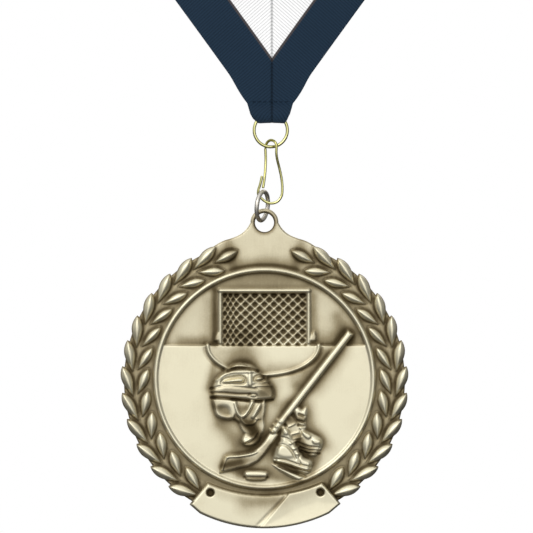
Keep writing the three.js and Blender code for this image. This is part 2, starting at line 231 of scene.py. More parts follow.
def write_attribute(piece, name, values, kind="FLOAT"):
    made = piece.data.attributes.new(name, kind, "POINT")
    field = "vector" if kind == "FLOAT_VECTOR" else "value"
    made.data.foreach_set(field, np.ravel(values).astype(np.float32))


def smooth_step(x, low, high):
    t = np.clip((x - low) / (high - low), 0, 1)
    return t * t * (3 - 2 * t)


def curve_through(points, steps, closed=False):
    """A centripetal Catmull-Rom curve through points, with `steps` points to each span."""
    points = np.asarray(points, float)
    if closed:
        points = np.vstack([points[-1], points, points[:2]])
    else:
        points = np.vstack([2 * points[0] - points[1], points, 2 * points[-1] - points[-2]])
    path = []
    for i in range(1, len(points) - 2):
        p = points[i - 1:i + 3]
        knots = np.concatenate([[0], np.cumsum(np.linalg.norm(np.diff(p, axis=0), axis=1) ** 0.5)])
        t = np.linspace(knots[1], knots[2], steps, endpoint=False)[:, None]
        a = [((knots[j + 1] - t) * p[j] + (t - knots[j]) * p[j + 1]) / (knots[j + 1] - knots[j])
             for j in range(3)]
        b = [((knots[j + 2] - t) * a[j] + (t - knots[j]) * a[j + 1]) / (knots[j + 2] - knots[j])
             for j in range(2)]
        path.append(((knots[2] - t) * b[0] + (t - knots[1]) * b[1]) / (knots[2] - knots[1]))
    if not closed:
        path.append(points[-2:-1])
    return np.vstack(path)


def tube(path, diameter, sides):
    """A round wire along a path, with rounded ends. Returns points, faces and each point's run."""
    path = np.asarray(path, float)
    ahead = np.gradient(path, axis=0)
    ahead /= np.linalg.norm(ahead, axis=1)[:, None]
    runs = np.concatenate([[0], np.cumsum(np.linalg.norm(np.diff(path, axis=0), axis=1))])
    across = np.cross(ahead[0], (0.3, 0.2, 0.93))
    across /= np.linalg.norm(across)
    radius = diameter / 2
    rings = []
    for i, (place, forward) in enumerate(zip(path, ahead)):
        across = across - forward * np.dot(across, forward)
        across /= np.linalg.norm(across)
        rings.append((place, forward, across.copy(), radius, runs[i]))
    cap, bulge = [(0.35, 0.94), (0.7, 0.72), (0.93, 0.38)], 0.6
    start, end = rings[0], rings[-1]
    head = [(start[0] - start[1] * radius * a * bulge, *start[1:3], radius * b, 0.0) for a, b in cap]
    tail = [(end[0] + end[1] * radius * a * bulge, *end[1:3], radius * b, end[4]) for a, b in cap]
    rings = head[::-1] + rings + tail
    points, marks = [], []
    for place, forward, sideways, size, run in rings:
        upward = np.cross(forward, sideways)
        for k in range(sides):
            turn = 2 * math.pi * k / sides
            points.append(place + size * (math.cos(turn) * sideways + math.sin(turn) * upward))
            marks.append((run, turn, 0))
    faces = []
    for i in range(len(rings) - 1):
        for k in range(sides):
            a, b = i * sides + k, i * sides + (k + 1) % sides
            faces.append((a, b, b + sides, a + sides))
    faces.append(tuple(range(sides))[::-1])
    faces.append(tuple(range((len(rings) - 1) * sides, len(rings) * sides)))
    return np.array(points), faces, np.array(marks)


# ---------------------------------------------------------------- the ribbon's shape

# The worn ribbon is a straight flat strip laid round a cone whose point is above the neck.
SECTOR = math.radians(90 - RIBBON["seam_angle"])
SINE = (90 - RIBBON["seam_angle"]) / 180
COSINE = math.sqrt(1 - SINE ** 2)
REACH = RIBBON["length"] / 2 / math.tan(SECTOR)


def on_cone(along, across):
    slant = np.hypot(along, REACH + across)
    turn = np.arctan2(along, REACH + across) / SINE
    z = (REACH - slant) * COSINE
    drop = HANG["start"] - HANG["end"]
    bend = np.maximum(0, (HANG["start"] - z) / drop)
    pull = drop * SINE / COSINE * np.where(bend < 1, bend * bend / 2, bend - 0.5)
    radius = slant * SINE
    y = radius * np.cos(turn) - REACH * SINE + pull * smooth_step(turn, 2, 3)
    return np.stack([radius * np.sin(turn), y, z], -1)


def cone_normal(along, across):
    step = 0.05
    lengthwise = on_cone(along + step, across) - on_cone(along - step, across)
    crosswise = on_cone(along, across + step) - on_cone(along, across - step)
    normal = np.cross(lengthwise, crosswise)
    return normal / np.linalg.norm(normal, axis=-1, keepdims=True)


CUT_SLANT = REACH - FOLD_CUT / COSINE
CORNER = CUT_SLANT * math.cos(SECTOR) - REACH


def front_end(across):
    seam = (REACH + across) * math.tan(SECTOR)
    return np.minimum(seam, np.sqrt(CUT_SLANT ** 2 - (REACH + across) ** 2))


# The weave runs a little off centre, so the left strap shows a wider dark half than the right.
LOWER_EDGE = {-1: 10.6, 1: 9.8}

# The folded end runs down in front, round the split ring and up behind. Half of the fold's middle
# line is given as distance behind the chain's plane and height above the fold's bottom.
FOLD_LINE = [(-0.275, 4.9), (-0.3, 4.2), (-1.12, 3.1), (-1.76, 2.0), (-1.62, 1.1), (-0.95, 0.42),
             (0, 0.275)]
FOLD_TAIL = (0.275, 5.9)
FOLD_HALF_WIDTH = [(0.0, 3.5), (0.35, 3.8), (0.9, 4.2), (1.6, 4.5), (2.5, 4.85), (3.7, 5.2),
                   (4.9, 5.58)]
FOLD_SIDE = -0.45               # the folded end sits a little to the left
SEAM_RUN = (300, 380)           # how far along the strip the seam begins, and is at its full depth
FAR_FROM_SEAM = 20.0
SEAM_GROOVE = {"depth": 0.26, "width": 0.26}


def fold_path():
    """The fold's middle line, the way out of it at each point, and the run from the straps' cut."""
    half = np.array(FOLD_LINE)
    behind = np.vstack([half[:-1][::-1] * (-1, 1), FOLD_TAIL])
    path = curve_through(np.vstack([half, behind]), 7)
    ahead = np.gradient(path, axis=0)
    ahead /= np.linalg.norm(ahead, axis=1)[:, None]
    outward = np.stack([ahead[:, 1], -ahead[:, 0]], -1)
    run = np.concatenate([[0], np.cumsum(np.linalg.norm(np.diff(path, axis=0), axis=1))])
    return path, outward, run


def groove_at(x):
    return SEAM_GROOVE["depth"] * np.exp(-(x / SEAM_GROOVE["width"]) ** 2)


def edge_swell(across, lower):
    """Half the cloth's thickness, rounded off at both selvages."""
    inset = np.clip(np.minimum(across + RIBBON["upper"], lower - across) / 0.5, 0, 1)
    return RIBBON["thick"] / 2 * np.sqrt(1 - 0.82 * (1 - inset) ** 2)


def strip_rows(lower):
    """Strip lines from the upper edge to the lower one, and which of them the fold's cut starts at."""
    edge = [0, 0.1, 0.25, 0.5, 0.9]
    upper = [-RIBBON["upper"] + e for e in edge]
    middle = list(np.linspace(-RIBBON["upper"] + 1.8, CORNER, 18))
    shares = [0.02, 0.05, 0.09, 0.15, 0.23, 0.33, 0.44, 0.55, 0.66, 0.76, 0.85, 0.92, 0.965, 0.99, 1]
    rows = upper + middle + [CORNER + (lower - CORNER) * share for share in shares]
    return np.array(rows), len(upper) + len(middle) - 1


def strap_grid(side, face):
    """One strap's outer (1) or inner (-1) surface, from the front seam to the back of the neck."""
    columns = 330
    lower = LOWER_EDGE[side]
    across_rows, corner_row = strip_rows(lower)
    share = (np.arange(columns + 1) / columns) ** 1.6
    across = np.repeat(across_rows[:, None], columns + 1, 1)
    along = front_end(across_rows)[:, None] * (1 - share)[None, :]
    points = on_cone(along, across)
    normal = cone_normal(along, across)
    edge_at_cut = points[-1, 0, 0]
    widening = (FOLD_HALF_WIDTH[-1][1] + side * FOLD_SIDE) / edge_at_cut
    points[..., 0] *= 1 + (widening - 1) * smooth_step(-points[..., 2], 209, -FOLD_CUT)
    groove = groove_at(points[..., 0]) * smooth_step(along, *SEAM_RUN)
    offset = face * edge_swell(across, lower) - groove * (0.8 + 0.2 * face)
    points = points + normal * offset[..., None]
    points[:corner_row + 1, 0, 0] = 0
    points[:, -1, 0] = 0
    from_seam = np.where(along > SEAM_RUN[0], points[..., 0], FAR_FROM_SEAM)
    weave = np.stack([along, across, from_seam], -1)
    points[..., 0] *= side
    return points, weave, corner_row


def fold_grid(side, face, strap, strap_weave, corner_row):
    """One half of the folded end, from the straps' cut round the ring and up behind."""
    path, outward, run = fold_path()
    heights, widths = np.array(FOLD_HALF_WIDTH).T
    shift = side * FOLD_SIDE
    cut_x = np.abs(strap[corner_row:, 0, 0])
    share = cut_x / cut_x[-1]
    lower = LOWER_EDGE[side]
    across = strap_weave[corner_row:, 0, 1]
    swell = edge_swell(across, lower)
    points, weave = [], []
    slope = math.radians(RIBBON["seam_angle"])
    for (behind, height), out, reach in zip(path, outward, run):
        x = share * (np.interp(height, heights, widths) + shift)
        corner_lift = 0.7 * np.clip((x - 2.9) / 1.2, 0, 1) ** 2
        corner_lift = corner_lift + 0.12 * np.clip(1 - (x / 2.8) ** 2, 0, 1)
        low = max(0.0, 1 - height / 2.2)
        offset = face * swell - groove_at(x) * (0.8 + 0.2 * face) * min(1.0, height / 1.2)
        y = CHAIN_Y + behind + out[0] * offset
        z = FOLD_BOTTOM + height + out[1] * offset + corner_lift * low
        points.append(np.stack([side * x, y, z], -1))
        weave.append(np.stack([strap_weave[corner_row:, 0, 0] + reach * math.cos(slope),
                               across + reach * math.sin(slope), x], -1))
    points, weave = np.array(points).transpose(1, 0, 2), np.array(weave).transpose(1, 0, 2)
    settle = np.exp(-(run / 0.9) ** 2)[None, :, None]
    points += (strap[corner_row:, :1] - points[:, :1]) * settle
    return points, weave


def ribbon_piece():
    points, weave, faces = [], [], []
    total = 0

    def place(grid, marks):
        nonlocal total
        index = total + np.arange(grid[..., 0].size).reshape(grid.shape[:2])
        points.append(grid.reshape(-1, 3))
        weave.append(marks.reshape(-1, 3))
        total += index.size
        return index

    def skin(index, flip):
        a, b, c, d = index[:-1, :-1], index[1:, :-1], index[1:, 1:], index[:-1, 1:]
        quads = np.stack([a, b, c, d], -1).reshape(-1, 4)
        faces.extend((quads[:, ::-1] if flip else quads).tolist())

    def close(first, second, flip):
        skin(np.stack([first, second]), flip)

    for side in (-1, 1):
        straps, folds = {}, {}
        for face in (1, -1):
            grid, marks, corner_row = strap_grid(side, face)
            fold, fold_marks = fold_grid(side, face, grid, marks, corner_row)
            straps[face], folds[face] = place(grid, marks), place(fold, fold_marks)
            skin(straps[face], face * side > 0)
            skin(folds[face], face * side < 0)
        close(straps[1][0], straps[-1][0], side < 0)
        close(straps[1][-1], straps[-1][-1], side > 0)
        close(folds[1][-1], folds[-1][-1], side < 0)
        close(folds[1][:, -1], folds[-1][:, -1], side > 0)
    piece = make_piece("ribbon_cloth", np.vstack(points), faces, grosgrain(), "ribbon")
    write_attribute(piece, "weave", np.vstack(weave), "FLOAT_VECTOR")
    weld(piece)
    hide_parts("neck_ribbon")
    return piece


def weld(piece):
    made = bmesh.new()
    made.from_mesh(piece.data)
    bmesh.ops.remove_doubles(made, verts=made.verts, dist=1e-6)
    bmesh.ops.recalc_face_normals(made, faces=made.faces)
    made.to_mesh(piece.data)
    made.free()
    piece.data.update()


# ---------------------------------------------------------------- sewing threads

THREAD = 0.2


def fold_stitches():
    """Short straight stitches across the folded end, in front and behind."""
    points, faces = [], []
    total = 0
    pitch, stitch, dip, height = 1.3, 0.85, 0.12, FOLD_CUT + 0.35
    shape = ((-stitch / 2, dip), (-stitch / 3, 0), (stitch / 3, 0), (stitch / 2, dip))
    for face in (-1, 1):
        y = CHAIN_Y + face * (RIBBON["thick"] + THREAD * 0.1)
        for i in range(-3, 4):
            middle = FOLD_SIDE + i * pitch
            ends = [(middle + step, y - face * low, height) for step, low in shape]
            made, made_faces, _ = tube(curve_through(ends, 4), THREAD, 8)
            points.append(made)
            faces += [tuple(total + k for k in f) for f in made_faces]
            total += len(made)
    piece = make_piece("fold_stitches", np.vstack(points), faces, thread_material(), "ribbon")
    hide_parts("fold_seam_thread")
    return piece


def mitre_stitches():
    """A zigzag along the V seam, on the ribbon's inner face."""
    points = []
    side = 1
    for across in np.arange(1 - RIBBON["upper"], 4, 0.9):
        along = front_end(across)
        depth = RIBBON["thick"] / 2 + THREAD * 0.3
        place = on_cone(along, across) - cone_normal(along, across) * depth
        points.append((0.7 * side, place[1], place[2]))
        side = -side
    made, faces, _ = tube(curve_through(points, 5), THREAD * 1.3, 10)
    piece = make_piece("mitre_stitches", made, faces, thread_material(), "ribbon")
    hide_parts("mitre_seam_thread")
    return piece


# ---------------------------------------------------------------- rings and clip

def coil(radius, turns, rise, start, steps):
    """A wire coil about the Y axis, which steps by `rise` half way along."""
    t = np.linspace(0, 1, steps)
    angle = math.radians(start) + t * turns * 2 * math.pi
    step = rise * (smooth_step(t, 0.46, 0.54) - 0.5)
    return np.stack([-radius * np.sin(angle), step, radius * np.cos(angle)], -1)


def wire_piece(name, path, diameter, material, body, sides=24):
    points, faces, marks = tube(path, diameter, sides)
    piece = make_piece(name, points, faces, material, body)
    write_attribute(piece, "wire", marks, "FLOAT_VECTOR")
    return piece


def split_ring():
    wire = SPLIT_RING["wire"]
    radius = (SPLIT_RING["outer"] - wire) / 2
    path = coil(radius, SPLIT_RING["turns"], SPLIT_RING["rise"], SPLIT_RING["start"], 260)
    path = path + middle_mm("split_ring")
    piece = wire_piece("split_ring_wire", path, wire, bright_gold(), "split_ring")
    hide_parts("split_ring")


def jump_ring():
    wire = JUMP_RING["wire"]
    radius = (JUMP_RING["outer"] - wire) / 2
    quarter = Matrix.Rotation(math.radians(-90), 3, "Z")    # lays the coil about the X axis
    lean = Matrix.Rotation(math.radians(JUMP_RING["lean"]), 3, "Y")
    turn = Matrix.Rotation(math.radians(JUMP_RING["turn"]), 3, "Z")
    path = coil(radius, 0.985, 0, JUMP_RING["start"], 120)
    path = path @ np.array(lean @ turn @ quarter).T + middle_mm("jump_ring")
    piece = wire_piece("jump_ring_wire", path, wire, nickel(), "jump_ring", 28)
    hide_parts("jump_ring")


# The clip is one bent wire, and its left leg springs. Points are X, distance behind the chain, Z.
CLIP_BODY = [
    (-1.56, 1.45, -227.1), (-1.47, 1.45, -226.5), (-1.05, 1.1, -225.75), (-0.22, 0, -225.35),
    (0.65, -1.1, -225.75), (1.06, -1.45, -226.5), (1.05, -1.45, -228.4), (1.25, -1.1, -230.0),
    (1.75, -0.5, -232.0), (2.3, -0.1, -234.6), (2.5, 0, -236.8), (2.32, 0, -238.8),
    (1.4, 0, -240.15), (0, 0, -240.65), (-1.35, 0, -240.35), (-2.5, 0, -239.5),
    (-3.3, 0, -238.5), (-3.3, -0.1, -237.5), (-2.85, -0.3, -236.0), (-2.45, -0.45, -234.2),
]
CLIP_LATCH = [
    (-1.6, 1.45, -227.4), (-1.52, 1.45, -229.6), (-1.6, 1.15, -232.2), (-1.82, 0.75, -234.6),
    (-2.15, 0.5, -236.8),
]


def clip_wires():
    for name, points in (("snap_clip", CLIP_BODY), ("clip_latch", CLIP_LATCH)):
        path = curve_through(points, 12) + (0, CHAIN_Y, 0)
        piece = wire_piece(name + "_wire", path, CLIP_WIRE, bright_gold(), name)
        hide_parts(name)


# ---------------------------------------------------------------- the medal's relief

CELL = 0.15                     # spacing of the relief's height map
AXIS_U = np.arange(-38.0, 38.0 + CELL, CELL)
AXIS_V = np.arange(-37.0, 43.0 + CELL, CELL)
U, V = np.meshgrid(AXIS_U, AXIS_V)
RADIUS = np.hypot(U, V)
FROM_RIM = np.hypot(U, V - MEDAL["rim_rise"]) - MEDAL["rim"]
ANGLE = np.degrees(np.arctan2(U, V))     # from straight up, clockwise

# How far each surface stands in front of the middle plane.
GROUND, SKY, ICE, NET_FLOOR, NET, POST, CREASE = 1.1, 0.85, 1.35, 0.4, 0.95, 1.65, 1.75
LEAF_EDGE, OUTER_RIDGE, INNER_RIDGE, RIM_TOP = 1.3, 2.3, 2.1, 1.8
BANNER, FIGURE, DETAIL, STICK, PUCK = 1.9, 2.1, 2.45, 2.15, 1.95
HORIZON = 8.57                  # the height at which the ice meets the sky
WALL = 2.6                      # how steeply raised work falls to the surface under it


def on_circle(radius, degrees):
    return radius * math.sin(math.radians(degrees)), radius * math.cos(math.radians(degrees))


def arc(radius, start, end, steps, centre=(0, 0)):
    turns = np.radians(np.linspace(start, end, steps + 1))
    return np.stack([centre[0] + radius * np.sin(turns), centre[1] + radius * np.cos(turns)], -1)


def bezier(controls, steps):
    t = np.linspace(0, 1, steps + 1)[:, None]
    points = [np.array(c, float)[None, :] * np.ones_like(t) for c in controls]
    while len(points) > 1:
        points = [a * (1 - t) + b * t for a, b in zip(points, points[1:])]
    return points[0]


def window(points, margin=1.6):
    """The part of the height map round some points."""
    low, high = np.min(points, 0) - margin, np.max(points, 0) + margin
    columns = slice(*np.searchsorted(AXIS_U, (low[0], high[0])))
    rows = slice(*np.searchsorted(AXIS_V, (low[1], high[1])))
    return rows, columns


def inside_outline(points, place):
    """How far inside a closed outline each place is. It is negative outside."""
    u, v = U[place], V[place]
    points = np.asarray(points, float)
    nearest = np.full(u.shape, np.inf)
    odd = np.zeros(u.shape, bool)
    for (u0, v0), (u1, v1) in zip(points, np.roll(points, -1, 0)):
        du, dv = u1 - u0, v1 - v0
        t = np.clip(((u - u0) * du + (v - v0) * dv) / (du * du + dv * dv + 1e-12), 0, 1)
        nearest = np.minimum(nearest, (u - u0 - t * du) ** 2 + (v - v0 - t * dv) ** 2)
        if v0 != v1:
            odd ^= ((v0 > v) != (v1 > v)) & (u < u0 + du * (v - v0) / dv)
    return np.where(odd, 1, -1) * np.sqrt(nearest)


def from_line(points, place):
    """The distance from an open line."""
    u, v = U[place], V[place]
    nearest = np.full(u.shape, np.inf)
    for (u0, v0), (u1, v1) in zip(points, points[1:]):
        du, dv = u1 - u0, v1 - v0
        t = np.clip(((u - u0) * du + (v - v0) * dv) / (du * du + dv * dv + 1e-12), 0, 1)
        nearest = np.minimum(nearest, (u - u0 - t * du) ** 2 + (v - v0 - t * dv) ** 2)
    return np.sqrt(nearest)


def blurred(values, spread):
    """A Gaussian blur of a map, with spread in millimetres."""
    sigma = spread / CELL
    reach = max(1, int(3 * sigma))
    weights = np.exp(-0.5 * (np.arange(-reach, reach + 1) / sigma) ** 2)
    weights /= weights.sum()
    for axis in (0, 1):
        padded = np.pad(values, [(reach, reach) if a == axis else (0, 0) for a in (0, 1)], "edge")
        size = values.shape[axis]
        values = sum(w * (padded[k:k + size] if axis == 0 else padded[:, k:k + size])
                     for k, w in enumerate(weights))
    return values


def raise_inside(face, place, inside, top, edge=0.35, drop=0.35, crown=0.0, crown_reach=2.0):
    """Lifts the face to `top` where inside is above 0, with a rounded edge and a steep side."""
    level = top - drop * (1 - smooth_step(inside, 0, edge))
    level = level + crown * smooth_step(inside, 0, crown_reach)
    face[place] = np.maximum(face[place], level + np.minimum(inside, 0) * WALL)


def raise_shape(face, points, top, **rounding):
    place = window(points)
    raise_inside(face, place, inside_outline(points, place), top, **rounding)


def add_shape(face, points, height, edge=0.3):
    """Raises or sinks what is inside an outline, on top of what is there."""
    place = window(points)
    face[place] += height * smooth_step(inside_outline(points, place), -edge / 2, edge)


def add_line(face, points, width, height):
    """A rounded ridge, or a groove where height is negative, along a line."""
    place = window(points)
    across = from_line(points, place) / (width / 2)
    face[place] += height * np.clip(1 - across ** 2, 0, 1)


def add_curve(face, points, width, height):
    add_line(face, curve_through(points, 5), width, height)


def smooth_outline(points):
    return curve_through(points, 4, closed=True)


def raise_smooth(face, points, top, **rounding):
    raise_shape(face, smooth_outline(points), top, **rounding)


def add_smooth(face, points, height, edge=0.3):
    add_shape(face, smooth_outline(points), height, edge)


def add_vent(face, points, width, depth, rise=0.0):
    """A groove round a smooth outline, whose middle may be raised again."""
    outline = smooth_outline(points)
    add_line(face, np.vstack([outline, outline[:1]]), width, -depth)
    if rise:
        add_shape(face, outline, rise, 0.5)


def raise_line(face, points, half_width, top, **rounding):
    place = window(points)
    raise_inside(face, place, half_width - from_line(points, place), top, **rounding)


def leaf_outline(centre, heading, length, width):
    """A leaf with a pointed root and a blunt tip, which points along `heading`."""
    t = np.linspace(0, 1, 15)
    along = (t - 0.5) * length
    half = width / 2 * np.sin(np.pi * t ** 1.3) ** 0.8
    along = np.concatenate([along, along[-2:0:-1]])
    half = np.concatenate([half, -half[-2:0:-1]])
    forward = math.sin(math.radians(heading)), math.cos(math.radians(heading))
    return np.stack([centre[0] + along * forward[0] + half * forward[1],
                     centre[1] + along * forward[1] - half * forward[0]], -1)


LEAF_COUNT, FIRST_LEAF, LEAF_PITCH = 12, 26.0, 10.7
TIP_LEAF = 17.3
INNER_ROW, OUTER_ROW, TIP_ROW, STEM = 29.35, 33.05, 31.4, 31.1    # radii


def wreath_leaves():
    """Each leaf's outline, width and ridge height. The outer row is last."""
    inner, outer = [], []
    for side in (-1, 1):
        for i in range(LEAF_COUNT):
            angle = side * (FIRST_LEAF + LEAF_PITCH * i)
            climb = angle - side * 90
            width = 2.15 + 0.4 * float(smooth_step(abs(angle), 70, 110))
            leaf = leaf_outline(on_circle(INNER_ROW, angle), climb - side * 23, 6.6, width)
            inner.append((leaf, width, INNER_RIDGE))
            leaf = leaf_outline(on_circle(OUTER_ROW, angle), climb + side * 20, 7.8, 2.7)
            outer.append((leaf, 2.7, OUTER_RIDGE))
        tip = leaf_outline(on_circle(TIP_ROW, side * TIP_LEAF), side * (TIP_LEAF - 80), 6.4, 2.5)
        inner.append((tip, 2.5, OUTER_RIDGE))
    return inner, outer


def banner_outline():
    left, right = on_circle(35.0, 211.2), on_circle(35.0, 148.2)
    return np.vstack([arc(34.0, 155.8, 203.8, 30, (0, 6.4)), [left], arc(35.7, 206, 154, 30), [right]])


def plate_outline():
    """How far inside the casting's outline each place is."""
    radius, height = MEDAL["tab_radius"], MEDAL["tab_height"]
    left = np.vstack([bezier([(-14, 30.9), (-12.2, 33.0), (-9.6, 34.0)], 6),
                      bezier([(-9.6, 34.0), (-6.2, 34.9), (-4.6, 35.8), (0.05 - radius, height)], 8)])
    top = arc(radius, -88, 88, 16, (0, height))
    shoulders = np.vstack([left, top, left[::-1] * (-1, 1)])
    everywhere = (slice(None), slice(None))
    inside = np.maximum(MEDAL["ground"] - RADIUS, inside_outline(shoulders, everywhere))
    for outline in [banner_outline()] + [leaf for leaf, _, _ in wreath_leaves()[1]]:
        place = window(outline, 4.0)
        inside[place] = np.maximum(inside[place], inside_outline(outline, place))
    return np.minimum(inside, np.hypot(U, V - height) - MEDAL["tab_hole"])


def raise_wreath(face):
    inner, outer = wreath_leaves()
    for side in (-1, 1):
        add_line(face, arc(STEM, side * 24, side * 150, 60), 0.9, 0.06)
    for outline, width, ridge in inner + outer:
        place = window(outline)
        inside = inside_outline(outline, place)
        face[place] = np.where(inside > -0.3, np.minimum(face[place], GROUND - 0.15), face[place])
        middle = np.clip(inside / (width / 2), 0, 1)
        roof = LEAF_EDGE + (ridge - LEAF_EDGE) * (0.25 * middle + 0.75 * (1 - (1 - middle) ** 2))
        face[place] = np.maximum(face[place], roof + np.minimum(inside, 0) * WALL * 1.4)


def raise_rim(face):
    """The plain ice and sky inside the rim, and the rim's rounded bead."""
    inside = FROM_RIM < -0.45
    face[inside] = np.where(V < HORIZON, ICE, SKY)[inside]
    bowl = smooth_step(FROM_RIM, -7.5, 0) * 0.22
    face[inside] += (bowl * (V > HORIZON))[inside]
    face[:] = np.maximum(face, RIM_TOP - 0.7 * (FROM_RIM / 0.78) ** 2)


GOAL = {"left": -11.3, "right": 11.3, "top": 22.4, "bar": 1.2, "pitch": 2.3, "side_net": -6.9}


def raise_goal(face):
    left, right, top, bar = GOAL["left"], GOAL["right"], GOAL["top"], GOAL["bar"]
    foot = HORIZON
    mouth = [(left + bar, foot), (left + bar, top - bar), (right - bar, top - bar), (right - bar, foot)]
    place = window(mouth)
    inside = inside_outline(mouth, place)
    open_part = (inside > 0) & (V[place] > HORIZON)
    u, v = U[place], V[place] - HORIZON
    slanted = np.where(u < GOAL["side_net"], GOAL["side_net"] + (u - GOAL["side_net"]) * 1.75, u)
    cords = np.full(u.shape, -1.0)
    for slope in (-1, 1):
        across = (slanted + slope * v * 1.05) / GOAL["pitch"]
        gap = np.abs(across - np.round(across)) * GOAL["pitch"]
        cords = np.maximum(cords, 1 - (gap / 0.6) ** 2)
    net = NET_FLOOR + (NET - NET_FLOOR) * np.clip(cords, 0, 1)
    face[place] = np.where(open_part, net, face[place])
    rounding = {"edge": 0.5, "drop": 0.4}
    for post in (left + bar / 2, right - bar / 2):
        line = [(post, foot + bar / 2), (post, top - bar / 2)]
        raise_line(face, line, bar / 2, POST - 0.25, **rounding)
    crossbar = [(left + bar / 2, top - bar / 2), (right - bar / 2, top - bar / 2)]
    raise_line(face, crossbar, bar / 2, POST, **rounding)
    for u in (left - 0.4, right + 0.1):
        shoe = [(u - 0.6, 9.6), (u + 0.2, 11.9), (u + 0.9, 12.2), (u + 1.2, 9.6)]
        raise_smooth(face, shoe, POST - 0.35, **rounding)


def raise_crease(face):
    turns = np.linspace(0, math.pi, 40)
    line = np.stack([13.45 * np.cos(turns) - 0.3, HORIZON - 7.1 * np.sin(turns)], -1)
    add_line(face, line * (1.055, 1) + (0.016, -0.62), 0.9, -0.2)
    raise_line(face, line, 0.48, CREASE, edge=0.45, drop=0.3)


def raise_helmet(face):
    neck = [(-6.2, -10.2), (-4.7, -9.6), (-2.4, -9.6), (-0.2, -9.4), (-0.2, -12.4), (-1.7, -13.2),
            (-3.9, -13.2), (-5.2, -12.4)]
    jaw = [(-8.0, -4.6), (-7.6, -9.0), (-6.2, -10.2), (-5.4, -11.2), (-3.6, -10.9), (-2.3, -9.7),
           (-0.6, -9.6), (0.1, -4.6)]
    cheek = [(-12.6, -4.2), (-7.2, -4.6), (-7.0, -9.0), (-8.2, -9.4), (-10.3, -9.1), (-11.7, -8.4),
             (-12.3, -6.6)]
    cup = [(-5.3, -13.4), (-4.7, -12.7), (-3.0, -12.9), (-1.7, -11.9), (-0.7, -12.5),
           (-0.8, -14.1), (-1.9, -15.4), (-3.9, -16.0), (-5.3, -15.5), (-5.6, -14.5)]
    shell = [(-13.1, -3.9), (-12.8, -2.4), (-12.2, -0.7), (-11.2, 1.2), (-9.7, 2.6), (-8.4, 3.8),
             (-6.5, 4.4), (-4.7, 4.3), (-3.0, 3.9), (-1.7, 3.0), (-0.4, 1.7), (0.9, 0.4),
             (2.0, -1.1), (2.5, -2.8), (2.3, -4.4), (-0.8, -5.0), (-7.5, -4.6)]
    raise_smooth(face, neck, ICE + 0.3, edge=0.4, drop=0.2)
    raise_smooth(face, jaw, FIGURE - 0.35, edge=0.5)
    raise_smooth(face, cheek, FIGURE, edge=0.6, drop=0.5)
    raise_smooth(face, cup, FIGURE - 0.25, edge=0.6, drop=0.5)
    raise_smooth(face, shell, FIGURE, edge=0.9, drop=0.6, crown=0.55, crown_reach=4.0)
    ear = [(-11.2, -6.1), (-8.7, -6.1), (-8.2, -8.5), (-10.3, -8.7), (-11.3, -7.6)]
    add_smooth(face, ear, -0.4, 0.9)
    top = [(-8.2, 3.2), (-7.4, 3.9), (-6.0, 4.1), (-4.6, 3.8), (-3.9, 3.2), (-6.0, 3.5)]
    add_smooth(face, top, 0.35)
    add_curve(face, [(-9.0, 2.3), (-7.6, 2.9), (-5.6, 3.1), (-3.0, 2.9), (-1.5, 2.3)], 0.7, -0.5)
    add_curve(face, [(-11.6, 0.1), (-10.0, 1.4), (-7.8, 2.1), (-5.2, 2.2), (-2.2, 2.3)], 0.8, 0.3)
    side_vent = [(-10.3, -0.5), (-9.6, 0.2), (-7.8, 0.7), (-5.6, 0.9), (-4.8, 0.5), (-5.0, -0.4),
                 (-7.3, -0.6)]
    add_vent(face, side_vent, 1.1, 0.45, 0.45)
    add_line(face, [(-3.5, 2.0), (-3.5, -0.8)], 1.2, 0.3)
    front_vent = [(-2.4, 0.4), (-1.7, 1.1), (-0.6, 1.1), (-0.1, 0.6), (-0.7, 0.1), (-1.9, -0.1)]
    add_vent(face, front_vent, 0.9, 0.4, 0.35)
    for line in ([(-2.6, -0.9), (1.3, -0.6)], [(-2.1, -1.6), (1.9, -1.5)]):
        add_line(face, line, 0.5, -0.3)
    for points, width, height in (
            ([(-13.0, -1.9), (-10.3, -1.3), (-6.0, -1.5), (-1.7, -2.0)], 0.5, -0.3),
            ([(-12.9, -2.9), (-10.3, -2.9), (-6.5, -3.2), (-3.4, -3.2)], 0.5, -0.35),
            ([(-12.9, -4.1), (-7.5, -4.5), (-1.7, -5.0), (2.0, -4.6)], 0.6, -0.4)):
        add_curve(face, points, width, height)
    eyelet = [(-3.9, -3.5), (-2.8, -3.2), (-1.9, -3.4), (-1.9, -3.8), (-2.8, -4.0)]
    add_vent(face, eyelet, 0.4, 0.25)
    mask = [(-7.2, -5.3), (-6.8, -6.9), (-6.2, -8.1), (-5.5, -8.6), (-4.7, -8.2), (-3.9, -7.1),
            (-3.0, -5.3)]
    raise_line(face, curve_through(mask, 5), 0.5, DETAIL - 0.1, edge=0.5)
    chin = [(-0.9, -5.3), (-0.8, -6.3), (-1.7, -8.0), (-2.6, -9.1), (-3.3, -8.9), (-2.8, -7.6),
            (-1.8, -5.8)]
    raise_smooth(face, chin, DETAIL - 0.15, edge=0.6)
    strap = [(-0.1, -4.8), (-0.1, -7.2), (-0.5, -9.3), (-0.3, -11.6)]
    raise_line(face, curve_through(strap, 5), 0.3, FIGURE - 0.3, edge=0.3)
    add_curve(face, [(-5.6, -9.3), (-4.7, -10.3), (-3.0, -10.4), (-1.8, -9.3)], 0.8, 0.35)
    add_line(face, [(-4.8, -14.7), (-3.9, -14.3), (-3.2, -13.9)], 0.8, 0.35)
    add_curve(face, [(-4.6, -15.2), (-3.2, -14.9), (-2.0, -13.6), (-1.5, -12.6)], 0.5, -0.35)


